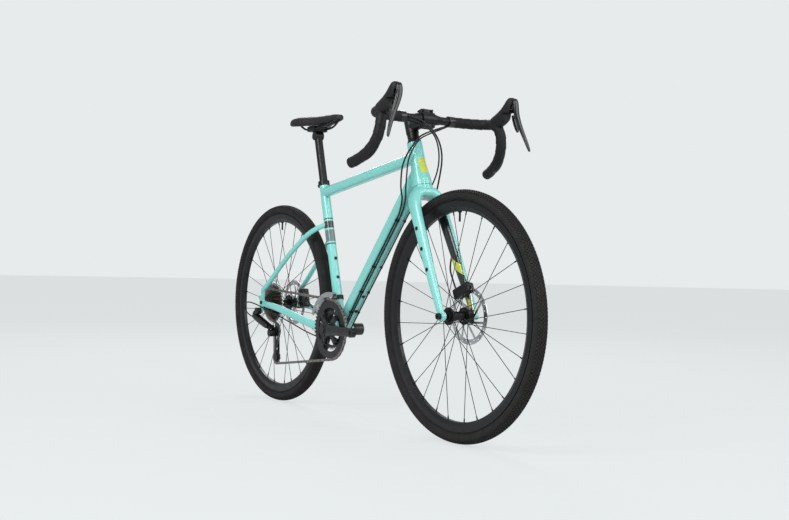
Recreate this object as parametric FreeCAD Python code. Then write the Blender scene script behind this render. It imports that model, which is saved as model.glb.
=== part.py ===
"""Gravel bike: frame, fork, wheels, drive train and controls, each piece a solid of its own.

Millimetres and degrees.  The origin is on the ground midway between the wheels,
+X points forward, +Y to the rider's left and +Z up.  The drive side is at -Y.
"""
import FreeCAD, Part
import math
import os

V = FreeCAD.Vector

# Layout seen from the side
wheelbase = 1042.0
chainstay_length = 432.0
bracket_drop = 72.0
head_angle = 71.0
seat_angle = 74.5
fork_length = 404.0
fork_rake = 50.0
head_tube_length = 137.0
seat_tube_length = 506.0

# Clearances
overrun = 3.0
running_gap = 0.06
slip_gap = 0.05
face_gap = 0.4
crown_gap = 1.5

# Tyres and rims
bead_radius = 311.0
tyre_height = 39.0
tyre_width = 40.0
tyre_wall = 2.8
tyre_neck = 7.5
bead_width = 3.4
rim_inner_width = 19.2
rim_wall = 2.2
rim_depth = 21.0
rim_hook = 6.0
rim_well_depth = 4.0
rim_well_width = 11.0
rim_bed_width = 11.0
rim_shoulder_share = 0.45
valve_radius = 3.0
valve_length = 46.0
valve_nut_radius = 5.5
valve_nut_height = 3.5

# Spokes and hubs
spokes_per_wheel = 28
spoke_crosses = 3
spoke_radius = 1.0
spoke_shift_share = 0.5
spoke_start_share = 0.25
spoke_head_share = 0.6
nipple_radius = 1.9
nipple_length = 12.0
spoke_rim_spread = 2.5
flange_thickness = 3.4
flange_rim = 3.6
front_hub_width = 100.0
front_flange_radius = 21.0
front_flange_left = 21.0
front_flange_right = 33.0
rear_hub_width = 142.0
rear_flange_radius = 24.0
rear_flange_left = 33.0
rear_flange_right = 19.5
hub_waist_radius = 12.5
hub_bearing_radius = 12.0
hub_bearing_width = 8.0
hub_shell_wall = 4.0
hub_cap_radius = 9.5
hub_cap_length = 8.0
axle_radius = 6.0
axle_bore_radius = 3.0
axle_head_radius = 9.0
axle_head_length = 9.0
axle_nut_length = 3.0

# Brake rotors and calipers
rotor_radius = 80.0
rotor_thickness = 1.8
rotor_track = 15.0
rotor_row_shares = (0.68, 0.32)
rotor_hole_radius = 2.3
rotor_holes = 26
rotor_arms = 7
rotor_arm_width = 6.5
rotor_arm_lean = 38.0
rotor_carrier_radius = 25.0
rotor_carrier_bore = 17.0
rotor_lockring_radius = 21.0
rotor_lockring_width = 3.5
front_rotor_side = 39.0
rear_rotor_side = 55.0
caliper_length = 66.0
caliper_width = 31.0
caliper_height = 30.0
caliper_round = 6.0
caliper_slot = 5.0
caliper_radius_share = 0.93
caliper_bolt_radius = 4.5
caliper_bolt_inset = 9.0
caliper_bolt_proud = 3.0
front_caliper_turn = 112.0
rear_caliper_turn = 14.0

# Frame tubes
tube_fullness = 0.86
tube_wall = 2.0
head_tube_radius = 22.5
head_tube_base_radius = 29.0
head_tube_wall = 3.0
head_tube_base_height = 18.0
head_tube_taper_height = 52.0
top_tube_width = 35.0
top_tube_height = 33.0
top_tube_head_drop = 43.0
top_tube_seat_drop = 37.0
down_tube_width = 52.0
down_tube_height = 46.0
down_tube_head_rise = 44.0
seat_tube_radius = 15.9
seatpost_radius = 13.6
seat_slot_width = 2.0
seat_slot_height = 28.0
bracket_shell_radius = 21.0
bracket_shell_width = 68.0
bracket_bore_radius = 17.2

# Stays and dropouts
chainstay_height = 30.0
chainstay_width = 17.0
chainstay_root_side = 25.0
chainstay_end_reach = 44.0
chainstay_shares = [(0.0, 1.0, 0.0, 1.05, 0.92), (0.12, 1.0, 0.04, 1.05, 0.92),
                    (0.24, 1.36, 0.1, 1.0, 0.88), (0.4, 1.9, 0.28, 0.92, 0.92),
                    (0.65, 2.55, 0.66, 0.84, 0.88), (0.88, 2.95, 0.94, 0.78, 0.8),
                    (1.0, 3.0, 1.0, 0.74, 0.76)]
seatstay_height = 17.0
seatstay_width = 15.0
seatstay_drop = 148.0
seatstay_end_reach = 44.0
seatstay_end_lean = 82.0
seatstay_shares = [(0.0, 0.1, 0.0), (0.1, 0.4, 0.07), (0.2, 0.62, 0.165), (0.5, 0.86, 0.47),
                   (0.86, 0.97, 0.86), (1.0, 1.0, 1.0)]
dropout_thickness = 7.0
dropout_eye_radius = 16.0
dropout_arm_width = 19.0
hanger_width = 18.0
hanger_drop = 30.0
hanger_setback = 7.0
rack_eye_radius = 6.5
rack_eye_turn = 128.0
rack_eye_reach = 24.0

# Threaded inserts
insert_radius = 4.2
insert_bore = 2.5
insert_depth = 10.0
insert_flange_radius = 5.6
insert_flange_height = 1.6
insert_spacing = 64.0
seat_insert_height = 172.0
down_insert_top_height = 250.0
down_insert_under_height = 103.0
fork_insert_height = 140.0
fork_insert_spacing = 64.0
fork_insert_depth = 9.0

# Seat clamp, cups and headset
seat_clamp_wall = 3.2
seat_clamp_height = 15.0
seat_clamp_lip = 2.0
seat_clamp_ear = 9.0
seat_clamp_ear_width = 16.0
seat_clamp_bolt_radius = 3.0
cup_radius = 22.0
cup_width = 9.0
cup_sleeve_length = 20.0
spindle_radius = 12.0
head_bearing_height = 10.0
steerer_radius = 14.3
steerer_base_radius = 19.9
steerer_taper_height = 45.0
headset_cover_height = 12.0
headset_cover_top_radius = 18.0
spacer_radius = 17.5
spacer_height = 10.0
spacer_count = 2
spacer_groove = 0.3
top_cap_radius = 17.0
top_cap_height = 5.0
top_cap_bolt_radius = 4.0

# Fork
fork_leg_depth = 40.0
fork_leg_width = 25.0
fork_half_span = 57.5
fork_crown_radius = 29.0
fork_crown_height = 14.0
fork_dropout_radius = 13.0
fork_dropout_width = 13.0
fork_shares = [(0.955, 0.02, 0.0, 1.3, 1.55), (0.95, 0.06, 0.32, 1.28, 1.5),
               (0.92, 0.1, 0.62, 1.2, 1.35), (0.86, 0.16, 0.78, 1.1, 1.2),
               (0.74, 0.26, 0.83, 1.0, 1.05), (0.4, 0.6, 0.92, 0.82, 0.92),
               (0.12, 0.9, 0.985, 0.66, 0.74), (0.0, 1.02, 1.0, 0.56, 0.6)]

# Stem and handlebar
stem_length = 75.0
stem_angle = -6.0
stem_clamp_height = 40.0
stem_clamp_radius = 19.0
stem_body_radius = 16.5
stem_face_radius = 21.0
stem_face_width = 44.0
stem_split_gap = 2.0
stem_bolt_radius = 3.5
stem_bolt_spread = 15.0
stem_bolt_head = 4.0
stem_lug_depth = 11.0
bar_clamp_radius = 15.9
bar_radius = 11.9
bar_bulge_half = 30.0
bar_taper_end = 52.0
bar_half_width = 243.0
bar_reach = 92.0
bar_drop = 143.0
bar_shares = [(0.0, 0.205, 0.0), (0.0, 0.782, 0.0), (1.0, 0.852, 0.03), (0.772, 0.922, 0.84),
              (-0.163, 1.0, 1.0)]
tape_thickness = 4.0
tape_start = 78.0
plug_length = 3.0

# Hoods and levers
hood_reach = 143.0
hood_rise = 66.0
hood_width = 35.0
hood_depth = 47.0
hood_side = 203.0
hood_shares = [(0.36, -0.06, 0.8, 0.74), (0.52, 0.02, 0.96, 0.9), (0.68, 0.14, 1.0, 1.0),
               (0.84, 0.36, 1.0, 0.94), (0.95, 0.66, 0.95, 0.8), (1.0, 0.92, 0.78, 0.55),
               (1.005, 1.0, 0.4, 0.28)]
lever_pivot_ahead = 138.0
lever_pivot_above = 38.0
lever_length = 128.0
lever_sweep = 34.0
lever_flare = 44.0
lever_width = 17.0
lever_depth = 15.0
lever_shares = [(-0.03, 0.26, 0.0, 0.8, 0.7), (0.06, 0.36, 0.02, 1.0, 0.95),
                (0.2, 0.46, 0.12, 1.0, 0.8), (0.46, 0.6, 0.42, 0.85, 0.56),
                (0.75, 0.82, 0.78, 0.7, 0.44), (0.95, 0.98, 0.97, 0.6, 0.36),
                (1.0, 1.02, 1.0, 0.3, 0.18)]
lever_bay_behind = 7.5
lever_bay_above = 7.0
lever_bay_side = 1.8
paddle_bay_behind = 20.0
paddle_bay_below = 12.5
lever_pin_radius = 2.5
lever_pin_bite = 3.0
lever_lug_radius = 6.0
lever_lug_width = 15.0
paddle_length = 52.0
paddle_width = 14.0
paddle_depth = 3.6
paddle_behind = 9.0
paddle_shares = [(0.0, 0.6, 1.0), (0.25, 0.9, 1.0), (0.7, 1.0, 0.9), (1.0, 0.5, 0.6)]
paddle_top_share = 0.17
paddle_pivot_share = 0.14
paddle_pin_radius = 1.8
paddle_foot_share = 0.5

# Seatpost and saddle
post_rise = 190.0
post_insertion = 120.0
post_head_radius = 15.0
post_head_width = 30.0
rail_radius = 3.5
rail_spacing = 44.0
rail_clamp_length = 42.0
rail_clamp_height = 18.0
rail_bolt_radius = 3.5
rail_shares = [(0.14, 0.92, 0.34), (0.27, 1.0, 0.0), (0.66, 1.0, 0.0), (0.9, 0.42, 0.44)]
saddle_length = 270.0
saddle_width = 142.0
saddle_setback = 112.0
saddle_rise = 47.0
saddle_depth = 40.0
saddle_shares = [(0.0, 0.42, 0.84, 0.34), (0.05, 0.72, 0.92, 0.62), (0.14, 0.97, 0.985, 0.92),
                 (0.24, 1.0, 1.0, 1.0), (0.36, 0.86, 0.96, 1.0), (0.48, 0.6, 0.9, 0.9),
                 (0.62, 0.4, 0.86, 0.76), (0.8, 0.3, 0.84, 0.64), (0.93, 0.25, 0.8, 0.54),
                 (0.985, 0.16, 0.72, 0.36), (1.0, 0.08, 0.66, 0.2)]
saddle_section_shares = [(0.0, 0.0), (0.42, 0.03), (0.78, 0.17), (0.96, 0.46), (1.0, 0.84),
                         (0.86, 1.0), (0.45, 0.74), (0.0, 0.66)]

# Drive train
chain_pitch = 12.7
chain_side = -44.6
chain_tooth_width = 1.5
roller_radius = 3.8
roller_seat_gap = 0.15
roller_half_width = 1.15
chain_plate_width = 8.2
chain_plate_thickness = 0.8
chain_plate_gap = 0.06
chain_pin_radius = 1.8
tooth_height = 3.4
tooth_tip_share = 0.07
outer_ring_teeth = 48
inner_ring_teeth = 31
ring_spacing = 7.1
ring_thickness = 3.4
ring_band = 20.0
ring_tooth_root = 6.5
ring_bolt_circle = 55.0
ring_bolt_radius = 5.0
ring_bolt_head_radius = 6.2
ring_bolt_head_height = 1.2
ring_tab_radius = 9.5
spider_arms = 4
spider_start_share = 0.5
spider_arm_width = 17.0
spider_thickness = 6.0
cassette_teeth = [11, 12, 14, 16, 18, 21, 24, 27, 30, 33, 36]
cassette_spacing = 3.74
chain_cog = 6
cassette_band = 13.0
cassette_body_radius = 17.6
cassette_arms = 6
cassette_arm_width = 8.0
lockring_radius = 15.5
lockring_width = 2.2
freehub_radius = 17.5
crank_length = 170.0
crank_tread = 148.0
crank_thickness = 14.0
crank_height = 32.0
crank_boss_radius = 20.0
crank_eye_radius = 15.0
crank_fullness = 0.8
crank_shares = [(0.0, 1.16, 0.93), (0.3, 1.0, 0.91), (0.7, 0.9, 0.88), (1.0, 0.84, 0.86)]
crank_cap_radius = 13.0
crank_cap_height = 2.5
pedal_thread_radius = 7.15

# Front derailleur
front_band_height = 105.0
front_band_width = 14.0
front_band_wall = 3.0
front_body_depth = 22.0
front_body_height = 26.0
front_cage_gap = 4.0
front_cage_depth = 17.0
front_cage_inside = 6.5
front_cage_thickness = 1.4
front_cage_nose_turn = 78.0
front_cage_bridge_turn = 100.0
front_cage_tail_turn = 157.0
front_cage_tail_depth = 14.0
front_body_round = 3.0
front_arm_thickness = 2.0
front_pin_radius = 2.0
front_pin_spacing = 9.0
front_pin_engagement = 3.0
front_hole_depth = 11.0

# Rear derailleur
pulley_teeth = 11
pulley_thickness = 2.0
pulley_bore = 2.6
lower_pivot_ahead = 51.0
lower_pivot_drop = 105.0
guide_ahead = 7.0
guide_rise = 8.0
pulley_spacing = 93.0
cage_lean = 3.0
cage_inside = 5.2
cage_thickness = 1.8
cage_width = 15.0
cage_end_radius = 13.0
cage_pivot_radius = 5.0
upper_knuckle_radius = 12.0
upper_knuckle_width = 17.0
upper_arm_behind = 24.0
upper_arm_drop = 14.0
upper_arm_width = 15.0
link_thickness = 4.0
link_height = 15.0
link_spacing = 12.0
link_pin_radius = 1.9
link_lug = 3.2
lower_knuckle_radius = 13.0
lower_knuckle_width = 20.0
lower_arm_ahead = 3.0
lower_arm_rise = 16.0
lower_arm_width = 13.0

# Cables
brake_hose = 5.0
shift_housing = 4.4
corner_share = 0.45
clip_width = 5.0
clip_wall = 1.3
clip_heights = [100.0, 187.0, 293.0, 478.0]

oval_steps = 8
steps_between = 3

# Places worked out from the layout
wheel_radius = bead_radius + tyre_height
rear_axle_place = V(-wheelbase / 2, 0, wheel_radius)
front_axle_place = V(wheelbase / 2, 0, wheel_radius)
bracket_reach = math.sqrt(chainstay_length ** 2 - bracket_drop ** 2)
bracket_place = rear_axle_place + V(bracket_reach, 0, -bracket_drop)
aside = V(0, 1, 0)
upward = V(0, 0, 1)
forward = V(1, 0, 0)
steer_up = V(-math.cos(math.radians(head_angle)), 0, math.sin(math.radians(head_angle)))
steer_ahead = V(math.sin(math.radians(head_angle)), 0, math.cos(math.radians(head_angle)))
seat_up = V(-math.cos(math.radians(seat_angle)), 0, math.sin(math.radians(seat_angle)))
seat_ahead = V(math.sin(math.radians(seat_angle)), 0, math.cos(math.radians(seat_angle)))
steer_foot = front_axle_place - steer_ahead * fork_rake
head_base = fork_length + crown_gap
head_top = head_base + head_tube_length


def on_steerer(height, ahead, side):
    """Point of the steering axis at a height above the axle's foot, moved ahead and aside."""
    return steer_foot + steer_up * height + steer_ahead * ahead + aside * side


def on_seat_tube(height, ahead):
    return bracket_place + seat_up * height + seat_ahead * ahead


down_end = on_steerer(head_base + down_tube_head_rise, 0, 0)
down_along = V(down_end - bracket_place).normalize()
down_over = V(-down_along.z, 0, down_along.x)
top_head = on_steerer(head_top - top_tube_head_drop, 0, 0)
top_seat = on_seat_tube(seat_tube_length - top_tube_seat_drop, 0)
stem_height = (head_top + face_gap + headset_cover_height
               + spacer_height * spacer_count + stem_clamp_height / 2)
stem_turn = math.radians(stem_angle)
stem_along = steer_ahead * math.cos(stem_turn) + steer_up * math.sin(stem_turn)
stem_root = on_steerer(stem_height, 0, 0)
bar_centre = stem_root + stem_along * stem_length
rail_centre = on_seat_tube(seat_tube_length + post_rise, 0)
ring_side = chain_side
inner_ring_side = chain_side + ring_spacing
lower_pivot = rear_axle_place + V(lower_pivot_ahead, chain_side, -lower_pivot_drop)
guide_centre = lower_pivot + V(guide_ahead, 0, guide_rise)
cage_turn = math.radians(cage_lean)
tension_centre = guide_centre + V(math.sin(cage_turn), 0, -math.cos(cage_turn)) * pulley_spacing
hanger_bolt = rear_axle_place + V(-hanger_setback, 0, -hanger_drop)
dropout_side = rear_hub_width / 2


def on_down_tube(height, over, side):
    """Point along the down tube from the bracket, moved over its top face and aside."""
    return bracket_place + down_along * height + down_over * over + aside * side


def unit(vector):
    return V(vector).normalize()


def along_y(place, side):
    return V(place.x, side, place.z)


def rod(start, end, radius):
    return Part.makeCylinder(radius, (end - start).Length, start, unit(end - start))


def pipe(start, end, radius, bore):
    tool_start = start + unit(start - end) * overrun
    tool_end = end + unit(end - start) * overrun
    return rod(start, end, radius).cut(rod(tool_start, tool_end, bore))


def disc(place, radius, near, far):
    """Round plate across the bike between two distances from its middle."""
    return rod(along_y(place, near), along_y(place, far), radius)


def bored(shape, place, radius, near, far):
    low = min(near, far) - overrun
    high = max(near, far) + overrun
    return shape.cut(disc(place, radius, low, high))


def strap(start, end, width, near, far):
    """Flat bar across the bike with round ends at two places seen from the side."""
    run = V(end.x - start.x, 0, end.z - start.z)
    over = V(-run.z, 0, run.x).normalize() * (width / 2)
    corners = [along_y(start + over, near), along_y(end + over, near),
               along_y(end - over, near), along_y(start - over, near)]
    slab = Part.Face(Part.makePolygon(corners + corners[:1])).extrude(aside * (far - near))
    ends = [disc(start, width / 2, near, far), disc(end, width / 2, near, far)]
    return slab.multiFuse(ends).removeSplitter()


def half_oval(centre, across, over, half_across, half_over, fullness):
    points = []
    for step in range(oval_steps + 1):
        turn = math.pi * step / oval_steps
        share_across = math.copysign(abs(math.cos(turn)) ** fullness, math.cos(turn))
        share_over = math.sin(turn) ** fullness if 0 < step < oval_steps else 0
        points.append(centre + across * (half_across * share_across)
                      + over * (half_over * share_over))
    curve = Part.BSplineCurve()
    curve.interpolate(Points=points, InitialTangent=over * half_over,
                      FinalTangent=over * -half_over)
    return curve.toShape()


def oval(centre, across, over, half_across, half_over, fullness):
    """Closed curve like an ellipse, fuller towards its corners below a fullness of one."""
    return Part.Wire([half_oval(centre, across, over, half_across, half_over, fullness),
                      half_oval(centre, -across, -over, half_across, half_over, fullness)])


def eased(stations):
    """Stations with others put between them on a smooth curve through the given ones."""
    gaps = [(after[0] - before[0]).Length for before, after in zip(stations, stations[1:])]

    def slope(index, item):
        first = max(index - 1, 0)
        last = min(index + 1, len(stations) - 1)
        return (stations[last][item] - stations[first][item]) * (1 / sum(gaps[first:last]))

    filled = []
    for index, gap in enumerate(gaps):
        for step in range(steps_between):
            share = step / steps_between
            rest = 1 - share
            row = []
            for item in range(3):
                ends = (stations[index][item] * (rest ** 2 * (1 + 2 * share))
                        + stations[index + 1][item] * (share ** 2 * (1 + 2 * rest)))
                lean = (slope(index, item) * (share * rest ** 2 * gap)
                        - slope(index + 1, item) * (share ** 2 * rest * gap))
                row.append(ends + lean)
            filled.append(tuple(row))
    return filled + [stations[-1]]


def limb(stations, reference, fullness):
    """Solid through oval sections: centre, half size across, half size along the reference."""
    stations = eased(stations)
    sections = []
    for index, (centre, half_across, half_over) in enumerate(stations):
        before = stations[max(index - 1, 0)][0]
        after = stations[min(index + 1, len(stations) - 1)][0]
        along = unit(after - before)
        over = unit(reference - along * reference.dot(along))
        sections.append(oval(centre, over.cross(along), over, half_across, half_over, fullness))
    return Part.makeLoft(sections, True, True)


def lathe(profile, place, axis):
    """Solid of revolution from heights and radii along an axis."""
    points = [V(radius, 0, height) for height, radius in profile]
    face = Part.Face(Part.makePolygon(points + points[:1]))
    return turned(face, place, axis)


def turned(face, place, axis):
    solid = face.revolve(V(0, 0, 0), upward, 360)
    solid.Placement = FreeCAD.Placement(place, FreeCAD.Rotation(upward, axis))
    return solid


def mirrored(shape):
    return shape.mirror(V(0, 0, 0), aside)


def both_sides(shape):
    return [shape, mirrored(shape)]


def fused(first, others):
    return first.multiFuse(others)


def block(centre, along, over, length, width, height, edge_round):
    """Box with rounded edges about its centre, its width lying across the other two."""
    box = Part.makeBox(length, width, height, V(-length / 2, -width / 2, -height / 2))
    box = box.makeFillet(edge_round, box.Edges)
    turn = FreeCAD.Rotation(along, over.cross(along), over, "XYZ")
    box.Placement = FreeCAD.Placement(centre, turn)
    return box


def cord_path(points):
    """Straight runs joined by tangent arcs, and the least radius of those arcs."""
    edges = []
    radii = []
    start = points[0]
    for before, corner, after in zip(points, points[1:], points[2:]):
        back = unit(before - corner)
        ahead = unit(after - corner)
        shorter = min((before - corner).Length, (after - corner).Length)
        half_turn = (math.pi - back.getAngle(ahead)) / 2
        reach = corner_share * shorter
        radius = reach / math.tan(half_turn)
        middle = corner + unit(back + ahead) * (radius / math.cos(half_turn) - radius)
        enter = corner + back * reach
        leave = corner + ahead * reach
        edges.append(Part.LineSegment(start, enter).toShape())
        edges.append(Part.Arc(enter, middle, leave).toShape())
        radii.append(radius)
        start = leave
    edges.append(Part.LineSegment(start, points[-1]).toShape())
    return Part.Wire(edges), min(radii)


def bent_rod(points, radius):
    path, least = cord_path(points)
    circle = Part.Wire(Part.makeCircle(radius, points[0], unit(points[1] - points[0])))
    return path.makePipeShell([circle], True, False), path.Length, least


def cord(name, points, diameter):
    """Cable or hose along its route; prints its length, tightest bend and volume share."""
    solid, length, least = bent_rod(points, diameter / 2)
    filled = solid.Volume / (math.pi * diameter ** 2 / 4 * length)
    print(f"{name}: length {length:.0f}, least bend {least:.1f}, volume share {filled:.4f}")
    return solid


def pitch_radius(teeth):
    return chain_pitch / (2 * math.sin(math.pi / teeth))


def toothed_disc(teeth, centre, phase, thickness):
    """Disc with chain teeth across the bike; the phase points at a gap between teeth."""
    radius = pitch_radius(teeth)
    seat = roller_radius + roller_seat_gap
    step = 2 * math.pi / teeth
    half_gap = math.asin(seat / radius)

    def rim_point(turn, distance):
        return V(distance * math.cos(turn), 0, distance * math.sin(turn))

    edges = []
    for tooth in range(teeth):
        middle = phase + tooth * step
        left = rim_point(middle - half_gap, radius)
        right = rim_point(middle + half_gap, radius)
        tip_start = rim_point(middle + step / 2 - step * tooth_tip_share, radius + tooth_height)
        tip_end = rim_point(middle + step / 2 + step * tooth_tip_share, radius + tooth_height)
        next_left = rim_point(middle + step - half_gap, radius)
        edges.append(Part.Arc(left, rim_point(middle, radius - seat), right).toShape())
        edges.append(Part.LineSegment(right, tip_start).toShape())
        edges.append(Part.LineSegment(tip_start, tip_end).toShape())
        edges.append(Part.LineSegment(tip_end, next_left).toShape())
    solid = Part.Face(Part.Wire(edges)).extrude(aside * thickness)
    solid.translate(centre - aside * (thickness / 2))
    return solid


# Chain run: circles that it wraps, in order, and the tangent points between them


def wrap_tangent(first, first_radius, first_way, second, second_radius, second_way):
    """Ends of the straight run that leaves one wrapped circle for the next, seen from the side."""
    run = V(second.x - first.x, 0, second.z - first.z)
    heading = math.atan2(run.z, run.x)
    spread = first_way * first_radius - second_way * second_radius
    lean = math.asin(spread / run.Length)
    turn = heading + lean - math.pi / 2
    leaving = first + V(math.cos(turn), 0, math.sin(turn)) * (first_radius * first_way)
    arriving = second + V(math.cos(turn), 0, math.sin(turn)) * (second_radius * second_way)
    return leaving, arriving


def chain_stretches():
    """Lines and arcs of the chain's middle line with their lengths in pitches."""
    ring = along_y(bracket_place, chain_side)
    cog = along_y(rear_axle_place, chain_side)
    wheels = [(ring, outer_ring_teeth, -1), (tension_centre, pulley_teeth, -1),
              (guide_centre, pulley_teeth, 1), (cog, cassette_teeth[chain_cog], -1)]
    runs = []
    for index, (centre, teeth, way) in enumerate(wheels):
        following, next_teeth, next_way = wheels[(index + 1) % len(wheels)]
        runs.append(wrap_tangent(centre, pitch_radius(teeth), way,
                                 following, pitch_radius(next_teeth), next_way))
    stretches = []
    for index, (centre, teeth, way) in enumerate(wheels):
        arriving = runs[index - 1][1] - centre
        leaving = runs[index][0] - centre
        start = math.atan2(arriving.z, arriving.x)
        sweep = (math.atan2(leaving.z, leaving.x) - start) * way % (2 * math.pi)
        stretches.append(("arc", sweep * teeth / (2 * math.pi), centre, teeth, start, way))
        length = (runs[index][1] - runs[index][0]).Length / chain_pitch
        stretches.append(("line", length, runs[index][0], runs[index][1]))
    return stretches


def chain_pins():
    """Places of the chain's pins, and the turn of a roller on each wrapped wheel."""
    stretches = chain_stretches()
    arcs = sum(stretch[1] for stretch in stretches if stretch[0] == "arc")
    lines = sum(stretch[1] for stretch in stretches if stretch[0] == "line")
    links = 2 * round((arcs + lines) / 2)
    stretch_share = (links - arcs) / lines
    pins = []
    phases = []
    passed = 0.0
    for stretch in stretches:
        share = 1.0 if stretch[0] == "arc" else stretch_share
        length = stretch[1] * share
        first = math.ceil(passed)
        if stretch[0] == "arc":
            _, _, centre, teeth, start, way = stretch
            phases.append(start + way * (first - passed) * 2 * math.pi / teeth)
        for count in range(first, math.ceil(passed + length)):
            done = count - passed
            if stretch[0] == "arc":
                turn = start + way * done * 2 * math.pi / teeth
                pins.append(centre + V(math.cos(turn), 0, math.sin(turn)) * pitch_radius(teeth))
            else:
                pins.append(stretch[2] + (stretch[3] - stretch[2]) * (done / length))
        passed += length
    return pins[:links], phases


chain_pin_places, (ring_phase, tension_phase, guide_phase, cog_phase) = chain_pins()


# Wheels


def tyre(centre):
    half_width = tyre_width / 2
    neck = rim_inner_width / 2 - slip_gap
    foot = bead_radius + slip_gap
    collar = foot + tyre_neck
    pinch = math.sqrt(1 - (neck / half_width) ** 2)
    half_height = (wheel_radius - collar) / (1 + pinch)
    middle = wheel_radius - half_height
    inner_width = half_width - tyre_wall
    inner_height = half_height - tyre_wall
    throat = neck - bead_width
    start = -math.acos(neck / half_width)
    inner_start = -math.acos(throat / inner_width)
    hub = V(middle, 0, 0)

    def arch(across, high, turn):
        side_point = hub + V(0, 0, across)
        top_point = hub + V(high, 0, 0)
        shape = Part.Ellipse(side_point, top_point, hub)
        if high > across:
            shape = Part.Ellipse(top_point, side_point, hub)
            turn = math.pi / 2 - turn
            return Part.ArcOfEllipse(shape, math.pi - turn, turn, True).toShape()
        return Part.ArcOfEllipse(shape, turn, math.pi - turn, True).toShape()

    outer = arch(half_width, half_height, start)
    inner = arch(inner_width, inner_height, inner_start)
    inner_collar = middle + inner_height * math.sin(inner_start)
    rows = [outer, inner]
    for side in (1, -1):
        corners = [V(collar, 0, side * neck), V(foot, 0, side * neck),
                   V(foot, 0, side * throat), V(inner_collar, 0, side * throat)]
        rows.append(Part.makePolygon(corners))
    edges = [edge for row in rows for edge in row.Edges]
    outline = Part.Wire(Part.__sortEdges__(edges))
    return turned(Part.Face(outline), centre, aside)


def rim_shell(centre):
    inside = rim_inner_width / 2
    outside = inside + rim_wall
    lip = bead_radius + rim_hook
    shoulder = bead_radius - rim_depth * rim_shoulder_share
    bed = bead_radius - rim_depth
    well = bead_radius - rim_well_depth
    half = [(outside, lip), (outside, shoulder), (rim_bed_width / 2, bed)]
    floor = [(inside, lip), (inside, bead_radius), (rim_well_width / 2, bead_radius),
             (rim_well_width / 2, well)]
    outline = half + [(-y, r) for y, r in reversed(half)]
    outline += [(-y, r) for y, r in floor] + list(reversed(floor))
    body = lathe(outline, centre, aside)
    roof = well - rim_wall
    chamber = [(outside - 2 * rim_wall, roof), (outside - rim_wall, shoulder),
               (rim_bed_width / 2 - rim_wall, bed + rim_wall)]
    hollow = lathe(chamber + [(-y, r) for y, r in reversed(chamber)], centre, aside)
    valve_hole = rod(centre + upward * (bed - overrun), centre + upward * bead_radius,
                     valve_radius + slip_gap)
    return body.cut(hollow).cut(valve_hole)


def valve(centre):
    top = bead_radius - rim_well_depth
    stem = rod(centre + upward * (top - valve_length), centre + upward * top, valve_radius)
    nut_top = bead_radius - rim_depth - 2 * slip_gap
    nut = rod(centre + upward * (nut_top - valve_nut_height), centre + upward * nut_top,
              valve_nut_radius)
    return stem.fuse(nut)


def rim(centre):
    return Part.makeCompound([rim_shell(centre), valve(centre)])


def spokes(centre, left, right, flange_radius):
    """Crossed spokes from both flanges, each with its nipple standing in the rim bed."""
    bed = bead_radius - rim_depth
    solids = []
    per_side = spokes_per_wheel // 2
    crossing = spoke_crosses * 2 * math.pi / per_side
    face = flange_thickness / 2 + spoke_radius * spoke_head_share
    for side, flange in ((1, left), (-1, right)):
        for count in range(per_side):
            lead = 1 if count % 2 else -1
            shift = spoke_shift_share if side == 1 else 0
            turn = 2 * math.pi * (count + shift + spoke_start_share) / per_side
            hub_turn = turn + lead * crossing
            spread = flange + lead * face
            head = V(math.sin(hub_turn) * flange_radius, side * spread,
                     math.cos(hub_turn) * flange_radius)
            seat = V(math.sin(turn) * bed, side * spoke_rim_spread, math.cos(turn) * bed)
            run = unit(seat - head)
            seat_top = seat + run * rim_wall
            wire = rod(centre + head, centre + seat_top, spoke_radius)
            nipple = rod(centre + seat_top - run * nipple_length, centre + seat_top, nipple_radius)
            solids.append(wire.fuse(nipple).removeSplitter())
    return Part.makeCompound(solids)


def hub(centre, width, left, right, flange_radius, rotor_side, right_end):
    """Hub shell with two flanges, its rotor seat, end caps and bearings on the axle."""
    half = width / 2 - face_gap
    rim_radius = flange_radius + flange_rim
    half_flange = flange_thickness / 2
    bore = axle_radius + running_gap
    seat_end = rotor_side + rotor_thickness / 2
    cap_end = half - hub_cap_length
    shoulder = hub_bearing_radius + hub_shell_wall
    profile = [(-right_end, bore), (-right_end, shoulder),
               (-right - half_flange, shoulder), (-right - half_flange, rim_radius),
               (-right + half_flange, rim_radius), (-right + half_flange, hub_waist_radius),
               (left - half_flange, hub_waist_radius), (left - half_flange, rim_radius),
               (left + half_flange, rim_radius), (left + half_flange, rotor_carrier_bore),
               (seat_end, rotor_carrier_bore), (seat_end, shoulder), (cap_end, shoulder),
               (cap_end, bore)]
    shell = lathe(profile, centre, aside)
    solids = []
    for end, inner in ((-1, -right_end), (1, cap_end)):
        deep = inner - end * hub_bearing_width
        pocket = disc(centre, hub_bearing_radius, deep, inner + end * overrun)
        shell = shell.cut(pocket)
        solids.append(pipe(along_y(centre, deep), along_y(centre, inner), hub_bearing_radius, bore))
        solids.append(pipe(along_y(centre, inner), along_y(centre, end * half), hub_cap_radius, bore))
    return Part.makeCompound([shell] + solids)


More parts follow.
